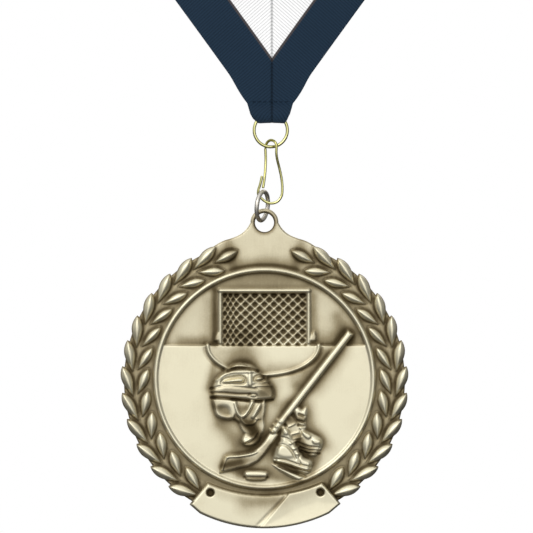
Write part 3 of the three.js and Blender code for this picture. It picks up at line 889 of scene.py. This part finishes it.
def raise_stick(face):
    blade = [(2.4, -12.3), (0.6, -14.6), (-1.2, -16.8), (-2.8, -17.4), (-5.9, -17.9), (-9.2, -18.2),
             (-11.0, -22.4), (-6.5, -21.2), (-3.9, -20.6), (-1.6, -19.5), (-0.1, -17.9), (1.7, -15.4),
             (3.4, -13.1)]
    raise_shape(face, blade, STICK - 0.25, edge=0.35, drop=0.3)
    shaft = [(1.3, -12.3), (20.2, 12.1), (21.4, 11.2), (2.6, -13.1)]
    raise_shape(face, shaft, STICK, edge=0.5, drop=0.3)
    edge = [(1.9, -12.4), (0.4, -14.6), (-1.4, -16.6), (-2.9, -17.5), (-6.0, -18.1), (-9.2, -18.5),
            (-10.4, -21.6)]
    add_line(face, curve_through(edge, 4), 0.9, 0.45)
    for u, v in ((1.7, -11.9), (2.6, -10.8), (3.5, -9.7)):
        add_line(face, [(u - 0.35, v + 0.28), (u + 0.35, v - 0.28)], 0.7, 0.25)


def raise_skates(face):
    far = [(8.9, -11.5), (10.2, -12.1), (11.7, -12.8), (13.9, -14.2), (14.0, -15.6), (12.8, -17.8),
           (11.5, -18.2), (9.5, -17.1), (8.0, -15.4), (8.3, -13.6)]
    ankle = [(7.2, -6.9), (8.3, -6.4), (9.1, -7.0), (10.1, -6.3), (10.3, -8.0), (10.0, -10.0),
             (10.0, -11.6), (8.4, -12.0), (7.7, -10.0)]
    laces = [(4.8, -9.3), (6.1, -8.2), (7.4, -8.9), (8.6, -11.6), (9.1, -13.4), (8.4, -15.0),
             (6.5, -14.3), (5.4, -11.5)]
    boot = [(4.5, -10.9), (6.1, -11.8), (6.4, -12.6), (7.2, -14.3), (8.4, -16.7), (9.5, -18.4),
            (11.4, -19.5), (11.4, -20.8), (10.6, -22.3), (6.5, -20.9), (2.4, -19.5), (2.4, -17.8),
            (3.0, -15.8), (3.8, -14.5), (4.0, -12.6)]
    blade = [(1.8, -20.2), (4.0, -20.9), (7.0, -22.3), (10.2, -23.6), (10.5, -24.2), (8.9, -24.5),
             (6.1, -23.1), (3.7, -21.7)]
    raise_smooth(face, laces, ICE + 0.35, edge=0.4)
    raise_smooth(face, ankle, FIGURE - 0.2, edge=0.6, drop=0.4)
    raise_smooth(face, far, FIGURE, edge=0.8, drop=0.5)
    raise_shape(face, blade, ICE + 0.6, edge=0.4)
    raise_smooth(face, boot, DETAIL - 0.15, edge=0.9, drop=0.6)
    for line in ([(8.3, -8.1), (9.6, -8.6)], [(8.1, -9.6), (9.6, -10.0)], [(8.2, -10.8), (9.6, -11.1)]):
        add_line(face, line, 0.55, -0.45)
    for line in ([(5.7, -11.2), (7.3, -10.4)], [(6.6, -12.9), (8.4, -12.4)], [(7.2, -14.0), (8.9, -13.6)]):
        add_line(face, line, 0.5, 0.3)
    add_smooth(face, [(9.1, -12.1), (10.2, -12.4), (11.3, -13.4), (10.6, -14.1), (9.4, -13.2)], 0.3)
    add_smooth(face, [(11.5, -14.3), (12.4, -14.0), (13.7, -14.5), (13.4, -15.2), (11.9, -15.2)], 0.3)
    for shift in (0.0, 1.0, 2.0):
        line = [(8.3 + 0.2 * shift, -15.0 - shift), (10.6, -15.9 - shift * 0.8),
                (13.3, -16.2 - shift * 0.7)]
        add_line(face, line, 0.5, -0.4)
    add_smooth(face, [(4.6, -11.3), (6.0, -12.1), (5.7, -13.0), (4.5, -12.8)], 0.25)
    side = [(3.5, -16.0), (5.0, -15.4), (6.5, -16.9), (7.0, -18.4), (4.8, -18.6), (3.0, -17.8)]
    add_smooth(face, side, 0.25, 0.6)
    for points, width, height in (
            ([(2.5, -18.9), (5.0, -19.2), (8.0, -20.2), (11.2, -20.9)], 0.5, -0.4),
            ([(2.5, -19.7), (5.0, -20.3), (8.0, -21.3), (10.8, -22.0)], 0.5, -0.4),
            ([(4.2, -13.6), (6.0, -14.2), (7.0, -15.2)], 0.5, -0.3),
            ([(3.1, -15.6), (4.8, -15.5), (6.4, -16.7), (7.6, -18.9)], 0.55, -0.28),
            ([(8.6, -17.9), (8.3, -19.2), (8.8, -20.3)], 0.5, -0.28)):
        add_curve(face, points, width, height)
    for line in ([(6.2, -15.2), (7.5, -14.6)], [(7.0, -16.5), (8.4, -16.0)], [(7.9, -17.7), (9.3, -17.4)]):
        add_line(face, line, 0.6, 0.28)
    add_line(face, [(3.4, -20.75), (6.0, -21.75), (10.2, -23.2)], 0.45, -0.35)


def raise_puck(face):
    puck = [(-4.7, -22.2), (-4.4, -21.95), (0.4, -22.1), (0.7, -22.4), (0.6, -23.4), (0.2, -23.9),
            (-4.2, -23.9), (-4.7, -23.4)]
    raise_smooth(face, puck, PUCK, edge=0.4, drop=0.3)
    add_line(face, [(-4.7, -23.35), (0.6, -23.4)], 0.8, -0.35)


BANNER_HOLES = [(-13.1, -27.05), (13.55, -26.95)]


def raise_banner(face):
    outline = banner_outline()
    place = window(outline)
    inside = inside_outline(outline, place)
    face[place] = np.where(inside > -0.35, np.minimum(face[place], GROUND), face[place])
    raise_inside(face, place, inside, BANNER, edge=0.55, drop=0.35)
    fold = np.vstack([[(5.8, -27.1)], arc(34.0, 170.2, 155.8, 10, (0, 6.4)), [on_circle(35.0, 148.2)],
                      arc(35.7, 154, 182, 16)])
    inside = inside_outline(fold, place)
    rise = 0.35
    shelf = BANNER + rise * np.exp(-np.maximum(inside, 0) / 3.5)
    shelf = shelf - rise * (1 - smooth_step(inside, 0, 0.4))
    face[place] = np.where(inside > 0, np.maximum(face[place], shelf), face[place])
    add_line(face, [(5.5, -27.5), (-1.6, -34.9)], 0.9, -0.12)
    for u, v in BANNER_HOLES:
        hole = np.hypot(U - u, V - v)
        face -= 0.85 * (1 - smooth_step(hole, 0.62, 1.08))


def medal_relief():
    """The face's heights, and how much patina and painted shade each place holds."""
    inside = plate_outline()
    face = np.full(U.shape, GROUND)
    raise_wreath(face)
    raise_rim(face)
    raise_goal(face)
    raise_crease(face)
    plain = face.copy()
    raise_helmet(face)
    raise_skates(face)
    raise_stick(face)
    raise_puck(face)
    scene = FROM_RIM < -0.5
    face = np.where(scene, face, plain)
    raise_banner(face)
    face = blurred(face, 0.13)
    patina_and_shade = patina_and_shade_map(face, plain, inside, scene)
    return face - 0.3 * (1 - smooth_step(inside, 0, 0.4)), inside, patina_and_shade


# Painted shadow in soft brown round the figures, as a line, how far from it the brown reaches, and
# how much there is.
GROUND_PAINTED_SHADOW = [
    ([(-4.8, 8.0), (-4.2, 5.2)], 3.3, 0.44), ([(-10.6, 6.6), (-8.4, 6.2)], 2.2, 0.22),
    ([(18.8, 6.6), (13.0, -1.6)], 2.0, 0.2), ([(17.6, 15.4), (19.0, 12.6)], 1.9, 0.28),
    ([(-20.0, 9.8), (-15.0, 9.8)], 1.4, 0.2), ([(14.6, 6.6), (9.0, -0.6)], 2.0, 0.34),
    ([(7.6, -2.4), (3.4, -7.8)], 1.5, 0.1), ([(3.4, 0.6), (1.6, -8.4)], 1.4, 0.08),
    ([(6.6, 1.4), (7.0, -0.8)], 1.4, 0.2), ([(2.8, -5.6), (5.4, -5.2)], 1.3, 0.14),
    ([(-12.4, 3.4), (-13.4, -1.5)], 1.2, 0.35), ([(1.6, 3.2), (8.6, 3.0)], 1.5, 0.22),
    ([(-10.6, -10.6), (-6.6, -15.2)], 2.2, 0.42), ([(-3.0, -16.8), (0.4, -13.8)], 1.4, 0.35),
    ([(-6.0, -22.5), (1.4, -22.5)], 1.5, 0.4), ([(3.4, -23.6), (8.6, -24.3)], 1.3, 0.36),
    ([(1.6, -17.2), (0.6, -20.6)], 1.3, 0.15), ([(-10.2, 30.4), (-8.0, 30.8)], 2.0, 0.14),
    ([(10.8, -6.4), (11.6, -10.8), (15.2, -15.6)], 1.7, 0.25),
    ([(12.8, -18.8), (10.8, -24.6)], 1.4, 0.3), ([(5.0, -7.4), (7.4, -5.6)], 1.6, 0.25),
    ([(-12.1, 8.8), (-12.1, 21.8)], 0.8, 0.42), ([(-13.6, 9.0), (-13.2, 19.0)], 2.0, 0.16),
    ([(12.3, 10.0), (12.1, 20.4)], 1.0, 0.22), ([(15.0, 10.6), (21.0, 10.8)], 2.2, 0.2),
    ([(-6.0, 24.6), (6.0, 24.6)], 1.6, 0.1),
]
# Painted shade in the same brown on the figures themselves; the one negative amount paints a highlight on
# the helmet's side vent.
FIGURE_PAINTED_SHADE = [
    ([(-3.4, -10.9), (-2.2, -12.6)], 1.6, 1.0),
    ([(-5.0, -15.6), (-3.0, -15.8), (-1.2, -14.0)], 0.7, 0.6),
    ([(-7.0, -9.4), (-5.6, -9.8)], 1.3, 0.5), ([(-10.8, -6.6), (-9.2, -8.4)], 1.5, 0.42),
    ([(-0.6, -3.2), (2.0, -3.4)], 1.1, 0.32), ([(-5.9, -6.6), (-4.2, -6.6)], 0.9, 0.3),
    ([(-0.6, -6.2), (-0.9, -9.4)], 0.9, 0.4),
    ([(-9.0, 3.0), (-2.6, 3.2), (0.6, 0.4), (1.8, -1.6)], 0.9, 0.38),
    ([(-0.4, -0.2), (0.6, -1.4)], 1.2, 0.35), ([(-12.6, -3.4), (1.6, -4.0)], 0.9, 0.16),
    ([(-12.0, -2.4), (-2.0, -2.2), (2.0, -2.6)], 1.1, 0.26),
    ([(-9.4, 0.1), (-5.6, 0.2)], 0.6, -0.3), ([(-10.6, 1.6), (-7.6, 2.8)], 0.9, 0.2),
    ([(-9.8, -20.6), (-6.0, -19.8)], 1.5, 0.44),
    ([(-9.6, -20.4), (-1.8, -19.0), (1.2, -15.6)], 1.25, 0.42),
    ([(5.8, -9.2), (9.0, -9.4)], 1.3, 0.6), ([(-12.6, -3.0), (-12.2, -6.2)], 0.8, 0.4),
    ([(8.6, -14.4), (10.2, -17.6)], 1.2, 0.7), ([(11.4, -16.8), (12.6, -17.4)], 0.9, 0.35),
    ([(4.0, -19.9), (10.4, -22.0)], 0.6, 0.3), ([(-4.6, -23.6), (0.4, -23.6)], 0.55, 0.6),
    ([(12.2, 4.4), (20.4, 15.6)], 0.9, 0.24),
]


def patina_and_shade_map(face, plain, inside, scene):
    """How much brown each place holds: patina most in the hollows and none on what the polishing reached,
    plus painted shadow round the figures and painted shade on them.
    """
    shown = np.where(inside > 0, face, GROUND - 0.3)
    slope = np.hypot(*np.gradient(shown, CELL))
    hollow = np.clip((blurred(shown, 0.6) - shown) / 0.4, 0, 1)
    wash = np.clip((blurred(shown, 1.8) - shown) / 0.7, 0, 1)
    proud = np.clip((shown - blurred(shown, 1.1)) / 0.5, 0, 1)
    figures = ((face - plain) > 0.12) & scene
    on_figures = blurred(figures.astype(float), 0.2)
    shadow = blurred(figures.astype(float), 1.3) * (1 - figures)
    patina_and_shade = hollow * 0.55 + wash * 0.5 + np.clip(slope / 2.5, 0, 1) * 0.22 - proud * 0.2
    on_ice = (V < HORIZON) & (FROM_RIM < -0.3)
    patina_and_shade *= 1 - 0.75 * on_ice * smooth_step(FROM_RIM, -2.5, -1.2)
    # Painted shadow round the figures, then the listed painted shadows and shade, all in the patina's
    # brown.
    patina_and_shade += shadow * 0.5
    for painted_shades, where in ((GROUND_PAINTED_SHADOW, 1 - on_figures), (FIGURE_PAINTED_SHADE, on_figures)):
        for line, reach, amount in painted_shades:
            place = window(line, 3 * reach)
            patina_and_shade[place] += amount * np.exp(-(from_line(line, place) / reach) ** 2) * where[place]
    # The sky, and the net in it.
    sky = (V > HORIZON + 0.2) & (FROM_RIM < -0.5)
    net = sky & (np.abs(U) < GOAL["right"] - 1) & (V < GOAL["top"] - 1)
    patina_and_shade += sky * (0.12 + 0.16 * smooth_step(V, 20.5, 23.5))
    patina_and_shade += net * (0.16 - 0.45 * (1 - smooth_step(V, HORIZON + 0.4, HORIZON + 2.2)))
    # The narrow sill between the rim and the wreath.
    sill = smooth_step(FROM_RIM, 0.35, 0.9) * (1 - smooth_step(RADIUS, 28.2, 28.8)) * (face < BANNER - 0.3)
    patina_and_shade += sill * (0.2 + 0.12 * smooth_step(-V, 18, 26))
    patina_and_shade += 0.22 * np.exp(-(FROM_RIM / 0.6) ** 2) * smooth_step(V, 14, 24)
    patina_and_shade = np.where(sill > 0.2, np.minimum(patina_and_shade, 0.56 + 0.2 * smooth_step(V, -8, 12)), patina_and_shade)
    # The plain ground below the tab, and round the tab's hole.
    plateau = smooth_step(FROM_RIM, 0.5, 1.2) * (1 - smooth_step(np.abs(ANGLE), 14, 20)) * (V > 0)
    soft = 0.16 + 0.2 * smooth_step(np.abs(U), 5, 10) + 0.24 * (1 - smooth_step(RADIUS, 28, 31.5))
    hole = np.hypot(U, V - MEDAL["tab_height"]) - MEDAL["tab_hole"]
    patina_and_shade += plateau * (soft + 0.5 * np.exp(-(hole / 0.7) ** 2))
    # The wreath's ground and the edges of its leaves, then the banner.
    outside = smooth_step(RADIUS, 28, 29)
    wreath = outside * smooth_step(np.abs(ANGLE), 13, 24) * smooth_step(ICE - face, -0.1, 0.25)
    leaf_edge = np.exp(-((face - LEAF_EDGE - 0.15) / 0.3) ** 2) * outside * (np.abs(ANGLE) > 13)
    patina_and_shade += 0.22 * leaf_edge * (face < BANNER - 0.3)
    # A painted shadow in brown beside the banner's fold.
    banner = window([(5, -28), (-3, -31)], 5)
    patina_and_shade[banner] += 0.26 * np.exp(-(from_line([(1.8, -29.2), (-4.4, -30.2)], banner) / 2.6) ** 2)
    on_banner = (face > BANNER - 0.4) & (V < -24) & (np.abs(ANGLE) > 148)
    patina_and_shade += on_banner * 0.24 * (1 - smooth_step(RADIUS, 28.6, 31.8))
    return np.clip(blurred(patina_and_shade + wreath * 0.16, 0.16), 0, 0.95)


# The mesh is thinned while patina and painted shade, slopes and edges stand this much off the real
# surface, so that it keeps enough points for the brown's gradients, the foot of each slope and the rounded
# edge.
PATINA_AND_SHADE_WEIGHT, SLOPE_WEIGHT, EDGE_WEIGHT = 0.7, 0.12, 0.6
TRIANGLES = 190000
BACK_PATINA = 0.2


def sampled(values, u, v):
    """A map's values between its grid places."""
    x = np.clip((u - AXIS_U[0]) / CELL, 0, len(AXIS_U) - 1.001)
    y = np.clip((v - AXIS_V[0]) / CELL, 0, len(AXIS_V) - 1.001)
    i, j = x.astype(int), y.astype(int)
    s, t = x - i, y - j
    return ((values[j, i] * (1 - s) + values[j, i + 1] * s) * (1 - t)
            + (values[j + 1, i] * (1 - s) + values[j + 1, i + 1] * s) * t)


def kept_cells(inside):
    """The map's squares inside the outline, with no two that meet only at a corner."""
    corners = inside > -0.5 * CELL
    cells = corners[:-1, :-1] & corners[1:, :-1] & corners[:-1, 1:] & corners[1:, 1:]
    for _ in range(3):
        a, b, c, d = cells[:-1, :-1], cells[:-1, 1:], cells[1:, :-1], cells[1:, 1:]
        pinched = (a & d & ~b & ~c) | (b & c & ~a & ~d)
        cells[:-1, :-1] |= pinched
        cells[:-1, 1:] |= pinched
        cells[1:, :-1] |= pinched
        cells[1:, 1:] |= pinched
    return cells


def back_height(u, v, inside):
    """How far the back stands behind the middle plane: a flat ring round a shallow recess."""
    radius = np.hypot(u, v)
    recess = 0.4 * (1 - smooth_step(radius, 29.9, 30.5))
    return MEDAL["back"] - recess - 0.25 * (1 - smooth_step(inside, 0, 0.35))


def casting_mesh(face, inside, patina_and_shade):
    """The height map's front, the back and the walls between them, as points and faces."""
    cells = kept_cells(inside)
    touching = np.zeros(U.shape, int)
    for rows in (slice(0, -1), slice(1, None)):
        for columns in (slice(0, -1), slice(1, None)):
            touching[rows, columns] += cells
    used = touching > 0
    u, v = U[used], V[used]
    rim = touching[used] < 4
    slope_v, slope_u = np.gradient(inside, CELL)
    for _ in range(3):
        gap = sampled(inside, u[rim], v[rim])
        du, dv = sampled(slope_u, u[rim], v[rim]), sampled(slope_v, u[rim], v[rim])
        size = np.maximum(du * du + dv * dv, 0.3)
        u[rim] -= gap * du / size
        v[rim] -= gap * dv / size
    count = len(u)
    index = np.full(U.shape, -1)
    index[used] = np.arange(count)
    at = sampled(inside, u, v)
    slope = blurred(np.hypot(*np.gradient(face, CELL)), 0.12)
    kept = face + PATINA_AND_SHADE_WEIGHT * patina_and_shade + SLOPE_WEIGHT * slope
    kept = kept - EDGE_WEIGHT * (1 - smooth_step(inside, 0, 0.6))
    front = np.stack([u, -sampled(kept, u, v), v], -1)
    back = np.stack([u, back_height(u, v, at), v], -1)
    points = np.vstack([front, back]) + MEDAL_PLACE
    a, b, c, d = (index[:-1, :-1], index[:-1, 1:], index[1:, 1:], index[1:, :-1])
    squares = np.stack([a[cells], b[cells], c[cells], d[cells]], -1)
    padded = np.pad(cells, 1)
    walls = []
    for start, end, down, right in ((a, b, -1, 0), (b, c, 0, 1), (c, d, 1, 0), (d, a, 0, -1)):
        beside = padded[1 + down:padded.shape[0] - 1 + down, 1 + right:padded.shape[1] - 1 + right]
        open_side = cells & ~beside
        walls.append(np.stack([end[open_side], start[open_side], start[open_side] + count,
                               end[open_side] + count], -1))
    return points, np.vstack([squares, squares[:, ::-1] + count] + walls).tolist()


def casting_piece():
    """The casting, thinned. Its points are then put back on the real surface."""
    face, inside, patina_and_shade = medal_relief()
    points, faces = casting_mesh(face, inside, patina_and_shade)
    piece = make_piece("medal_relief", points, faces, antique_gold(), "medal")
    thin(piece, TRIANGLES)
    places = np.zeros(len(piece.data.vertices) * 3, np.float32)
    piece.data.vertices.foreach_get("co", places)
    places = places.reshape(-1, 3) / MM - MEDAL_PLACE
    behind = places[:, 1] > 0.4
    at = sampled(inside, places[:, 0], places[:, 2])
    places[:, 1] = np.where(behind, back_height(places[:, 0], places[:, 2], at),
                            -sampled(face, places[:, 0], places[:, 2]))
    settled = (places + MEDAL_PLACE) * MM
    piece.data.vertices.foreach_set("co", settled.astype(np.float32).ravel())
    held = np.where(behind, BACK_PATINA, sampled(patina_and_shade, places[:, 0], places[:, 2]))
    write_attribute(piece, "patina_and_shade", held)
    shade_from_relief(piece, face, places, behind)
    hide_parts("medal_casting")


def shade_from_relief(piece, face, places, behind):
    """Gives the front the height map's own slopes as normals. Sides and back keep their faces'."""
    mesh = piece.data
    slope_v, slope_u = np.gradient(face, CELL)
    u, v = places[:, 0], places[:, 2]
    relief = np.stack([-sampled(slope_u, u, v), -np.ones_like(u), -sampled(slope_v, u, v)], -1)
    relief /= np.linalg.norm(relief, axis=1)[:, None]
    corners = np.zeros(len(mesh.loops), np.int32)
    mesh.loops.foreach_get("vertex_index", corners)
    normals = np.zeros(len(mesh.polygons) * 3, np.float32)
    mesh.polygons.foreach_get("normal", normals)
    sizes = np.zeros(len(mesh.polygons), np.int32)
    mesh.polygons.foreach_get("loop_total", sizes)
    flat = np.repeat(normals.reshape(-1, 3), sizes, 0)
    facing = (flat * relief[corners]).sum(1) > 0.35
    front = facing & ~behind[corners] & (flat[:, 1] < -0.05)
    shaded = np.where(front[:, None], relief[corners], flat)
    shaded[flat[:, 1] > 0.9] = (0, 1, 0)
    mesh.normals_split_custom_set(shaded.tolist())


def thin(piece, triangles):
    """Merges the flat parts' triangles until the piece has about this many."""
    now = sum(len(p.vertices) - 2 for p in piece.data.polygons)
    modifier = piece.modifiers.new("thin", "DECIMATE")
    modifier.ratio = min(1.0, triangles / now)
    bpy.context.view_layer.update()
    evaluated = piece.evaluated_get(bpy.context.evaluated_depsgraph_get())
    mesh = bpy.data.meshes.new_from_object(evaluated)
    piece.modifiers.clear()
    piece.data = mesh


# ---------------------------------------------------------------- materials

def bumped(tree, shader, height, strength, distance):
    inputs = {"Height": height, "Strength": strength, "Distance": distance}
    set_inputs(tree, shader, {"Normal": node(tree, "Bump", inputs).outputs[0]})


def grosgrain():
    """Ribbed ribbon, half dark blue and half white, with a thin grey stripe between."""
    material, tree, shader = new_material("grosgrain", Roughness=0.85, Sheen_Weight=0.03,
                                          Sheen_Roughness=0.5, Specular_IOR_Level=0.12)
    weave = attribute(tree, "weave").outputs["Vector"]
    along, across, seam = node(tree, "SeparateXYZ", {0: weave}).outputs
    rib_pitch, warp_pitch, rib_slant, width = 0.68, 0.21, -0.16, 24
    slanted = calc(tree, "MULTIPLY_ADD", across, rib_slant, along)
    rib = calc(tree, "ABSOLUTE", calc(tree, "SINE", calc(tree, "MULTIPLY", slanted, math.pi / rib_pitch)))
    rib = calc(tree, "POWER", rib, 0.7)
    warp = calc(tree, "SINE", calc(tree, "MULTIPLY", across, 2 * math.pi / warp_pitch))
    warp = calc(tree, "MULTIPLY_ADD", warp, 0.08, 0.92)
    fibre = noise(tree, stretched(tree, weave, (3.0, 9.0, 0.0)), 2.0, 4.0)
    height = calc(tree, "MULTIPLY", calc(tree, "MULTIPLY", rib, warp),
                  calc(tree, "MULTIPLY_ADD", fibre, 0.25, 0.88))
    place = calc(tree, "MULTIPLY_ADD", across, 1 / width, 0.5)
    white, stripe, blue = (0.95, 0.95, 0.95), (0.068, 0.060, 0.062), (0.0125, 0.0290, 0.0530)
    colour = ramp(tree, place, [(0.0, white), (0.4865, white), (0.4885, stripe), (0.5105, stripe),
                                (0.5125, blue), (1.0, blue)])
    shade = ramp(tree, height, [(0.0, 0.58), (0.55, 0.94), (1.0, 1.12)])
    colour = mix(tree, 1.0, colour, shade, "MULTIPLY")
    cloud = noise(tree, stretched(tree, weave, (0.05, 0.12, 0.0)), 1.0, 3.0)
    colour = mix(tree, 1.0, colour, ramp(tree, cloud, [(0.3, 0.95), (0.7, 1.03)]), "MULTIPLY")
    # Painted shade along the V seam's groove, darkest at the seam itself.
    squared = calc(tree, "MULTIPLY", seam, seam)
    near_seam = calc(tree, "EXPONENT", calc(tree, "MULTIPLY", squared, -15.0))
    seam_shade = ramp(tree, near_seam, [(0.0, 1.0), (1.0, 0.55)])
    colour = mix(tree, 1.0, colour, seam_shade, "MULTIPLY")
    set_inputs(tree, shader, {"Base Color": colour})
    bumped(tree, shader, height, 0.55, 0.00011)
    return material


def thread_material():
    material, tree, shader = new_material("sewing_thread", Roughness=0.85, Specular_IOR_Level=0.1)
    place = node(tree, "TexCoord").outputs["Object"]
    twist = node(tree, "TexWave", {"Vector": stretched(tree, place, (1.0, 1.0, 1.6)), "Scale": 4200.0,
                                   "Distortion": 0.6}, wave_type="BANDS", bands_direction="DIAGONAL")
    twist = twist.outputs["Fac"]
    colour = ramp(tree, twist, [(0.0, (0.006, 0.014, 0.028)), (1.0, (0.012, 0.026, 0.048))])
    set_inputs(tree, shader, {"Base Color": colour})
    bumped(tree, shader, twist, 0.5, 0.00004)
    return material


def drawn_wire(name, bright, dull, roughness):
    """Polished plated wire, with fine draw lines along it, small nicks and dulled patches."""
    material, tree, shader = new_material(name, Metallic=1.0)
    shader.inputs["Specular Tint"].default_value = (*(0.35 * c for c in dull), 1.0)
    run = attribute(tree, "wire").outputs["Vector"]
    place = node(tree, "TexCoord").outputs["Object"]
    lines = noise(tree, stretched(tree, run, (0.35, 5.0, 1.0)), 3.0, 4.0)
    patches = noise(tree, place, 260.0, 4.0)
    nicks = noise(tree, place, 5200.0, 2.0)
    streaks = noise(tree, stretched(tree, run, (0.05, 1.4, 1.0)), 1.0, 3.0)
    worn = calc(tree, "MAXIMUM", ramp(tree, patches, [(0.5, 0.0), (0.75, 0.6)]),
                ramp(tree, streaks, [(0.42, 0.0), (0.56, 1.0)]))
    colour = mix(tree, worn, bright, dull)
    rough = calc(tree, "MULTIPLY_ADD", worn, 0.10, roughness)
    rough = calc(tree, "ADD", rough, calc(tree, "MULTIPLY", lines, 0.04))
    set_inputs(tree, shader, {"Base Color": colour, "Roughness": rough})
    height = calc(tree, "ADD", calc(tree, "MULTIPLY", lines, 0.35),
                  ramp(tree, nicks, [(0.24, 0.0), (0.32, 0.5)]))
    bumped(tree, shader, height, 0.03, 0.00002)
    return material


def bright_gold():
    return drawn_wire("bright_gold", (0.94, 0.93, 0.46), (0.42, 0.38, 0.10), 0.09)


def nickel():
    return drawn_wire("nickel", (0.86, 0.83, 0.76), (0.64, 0.60, 0.53), 0.32)


def antique_gold():
    """Antiqued casting: brushed pale gold on the high parts, brown patina in the hollows, and painted
    shade round and on the figures.
    """
    material, tree, shader = new_material("antique_gold", Metallic=1.0)
    place = node(tree, "TexCoord").outputs["Object"]
    held = attribute(tree, "patina_and_shade").outputs["Fac"]
    brushing = noise(tree, stretched(tree, place, (9000.0, 9000.0, 240.0)), 1.0, 3.0)
    cloud = noise(tree, place, 160.0, 4.0)
    specks = noise(tree, place, 2600.0, 3.0)
    # The brown of the patina and the painted shade, with random tone from three noises.
    patina_and_shade_tone = held
    for grain, weight in ((cloud, 0.22), (brushing, 0.10), (specks, 0.10)):
        patina_and_shade_tone = calc(tree, "MULTIPLY_ADD", calc(tree, "SUBTRACT", grain, 0.5), weight, patina_and_shade_tone)
    colour = ramp(tree, patina_and_shade_tone, [(0.0, (0.83, 0.775, 0.575)), (0.22, (0.67, 0.605, 0.43)),
                                (0.45, (0.37, 0.31, 0.19)), (0.72, (0.15, 0.115, 0.06)),
                                (1.0, (0.06, 0.042, 0.018))])
    rough = ramp(tree, patina_and_shade_tone, [(0.0, 0.38), (0.35, 0.46), (0.8, 0.62)])
    rough = calc(tree, "MULTIPLY_ADD", brushing, 0.08, rough)
    set_inputs(tree, shader, {"Base Color": colour, "Roughness": rough})
    height = calc(tree, "MULTIPLY_ADD", specks, 0.5, brushing)
    bumped(tree, shader, height, 0.16, 0.00004)
    return material


# ---------------------------------------------------------------- the object

cloth = ribbon_piece()
stitches = [fold_stitches(), mitre_stitches()]
split_ring()
clip_wires()
jump_ring()
casting_piece()
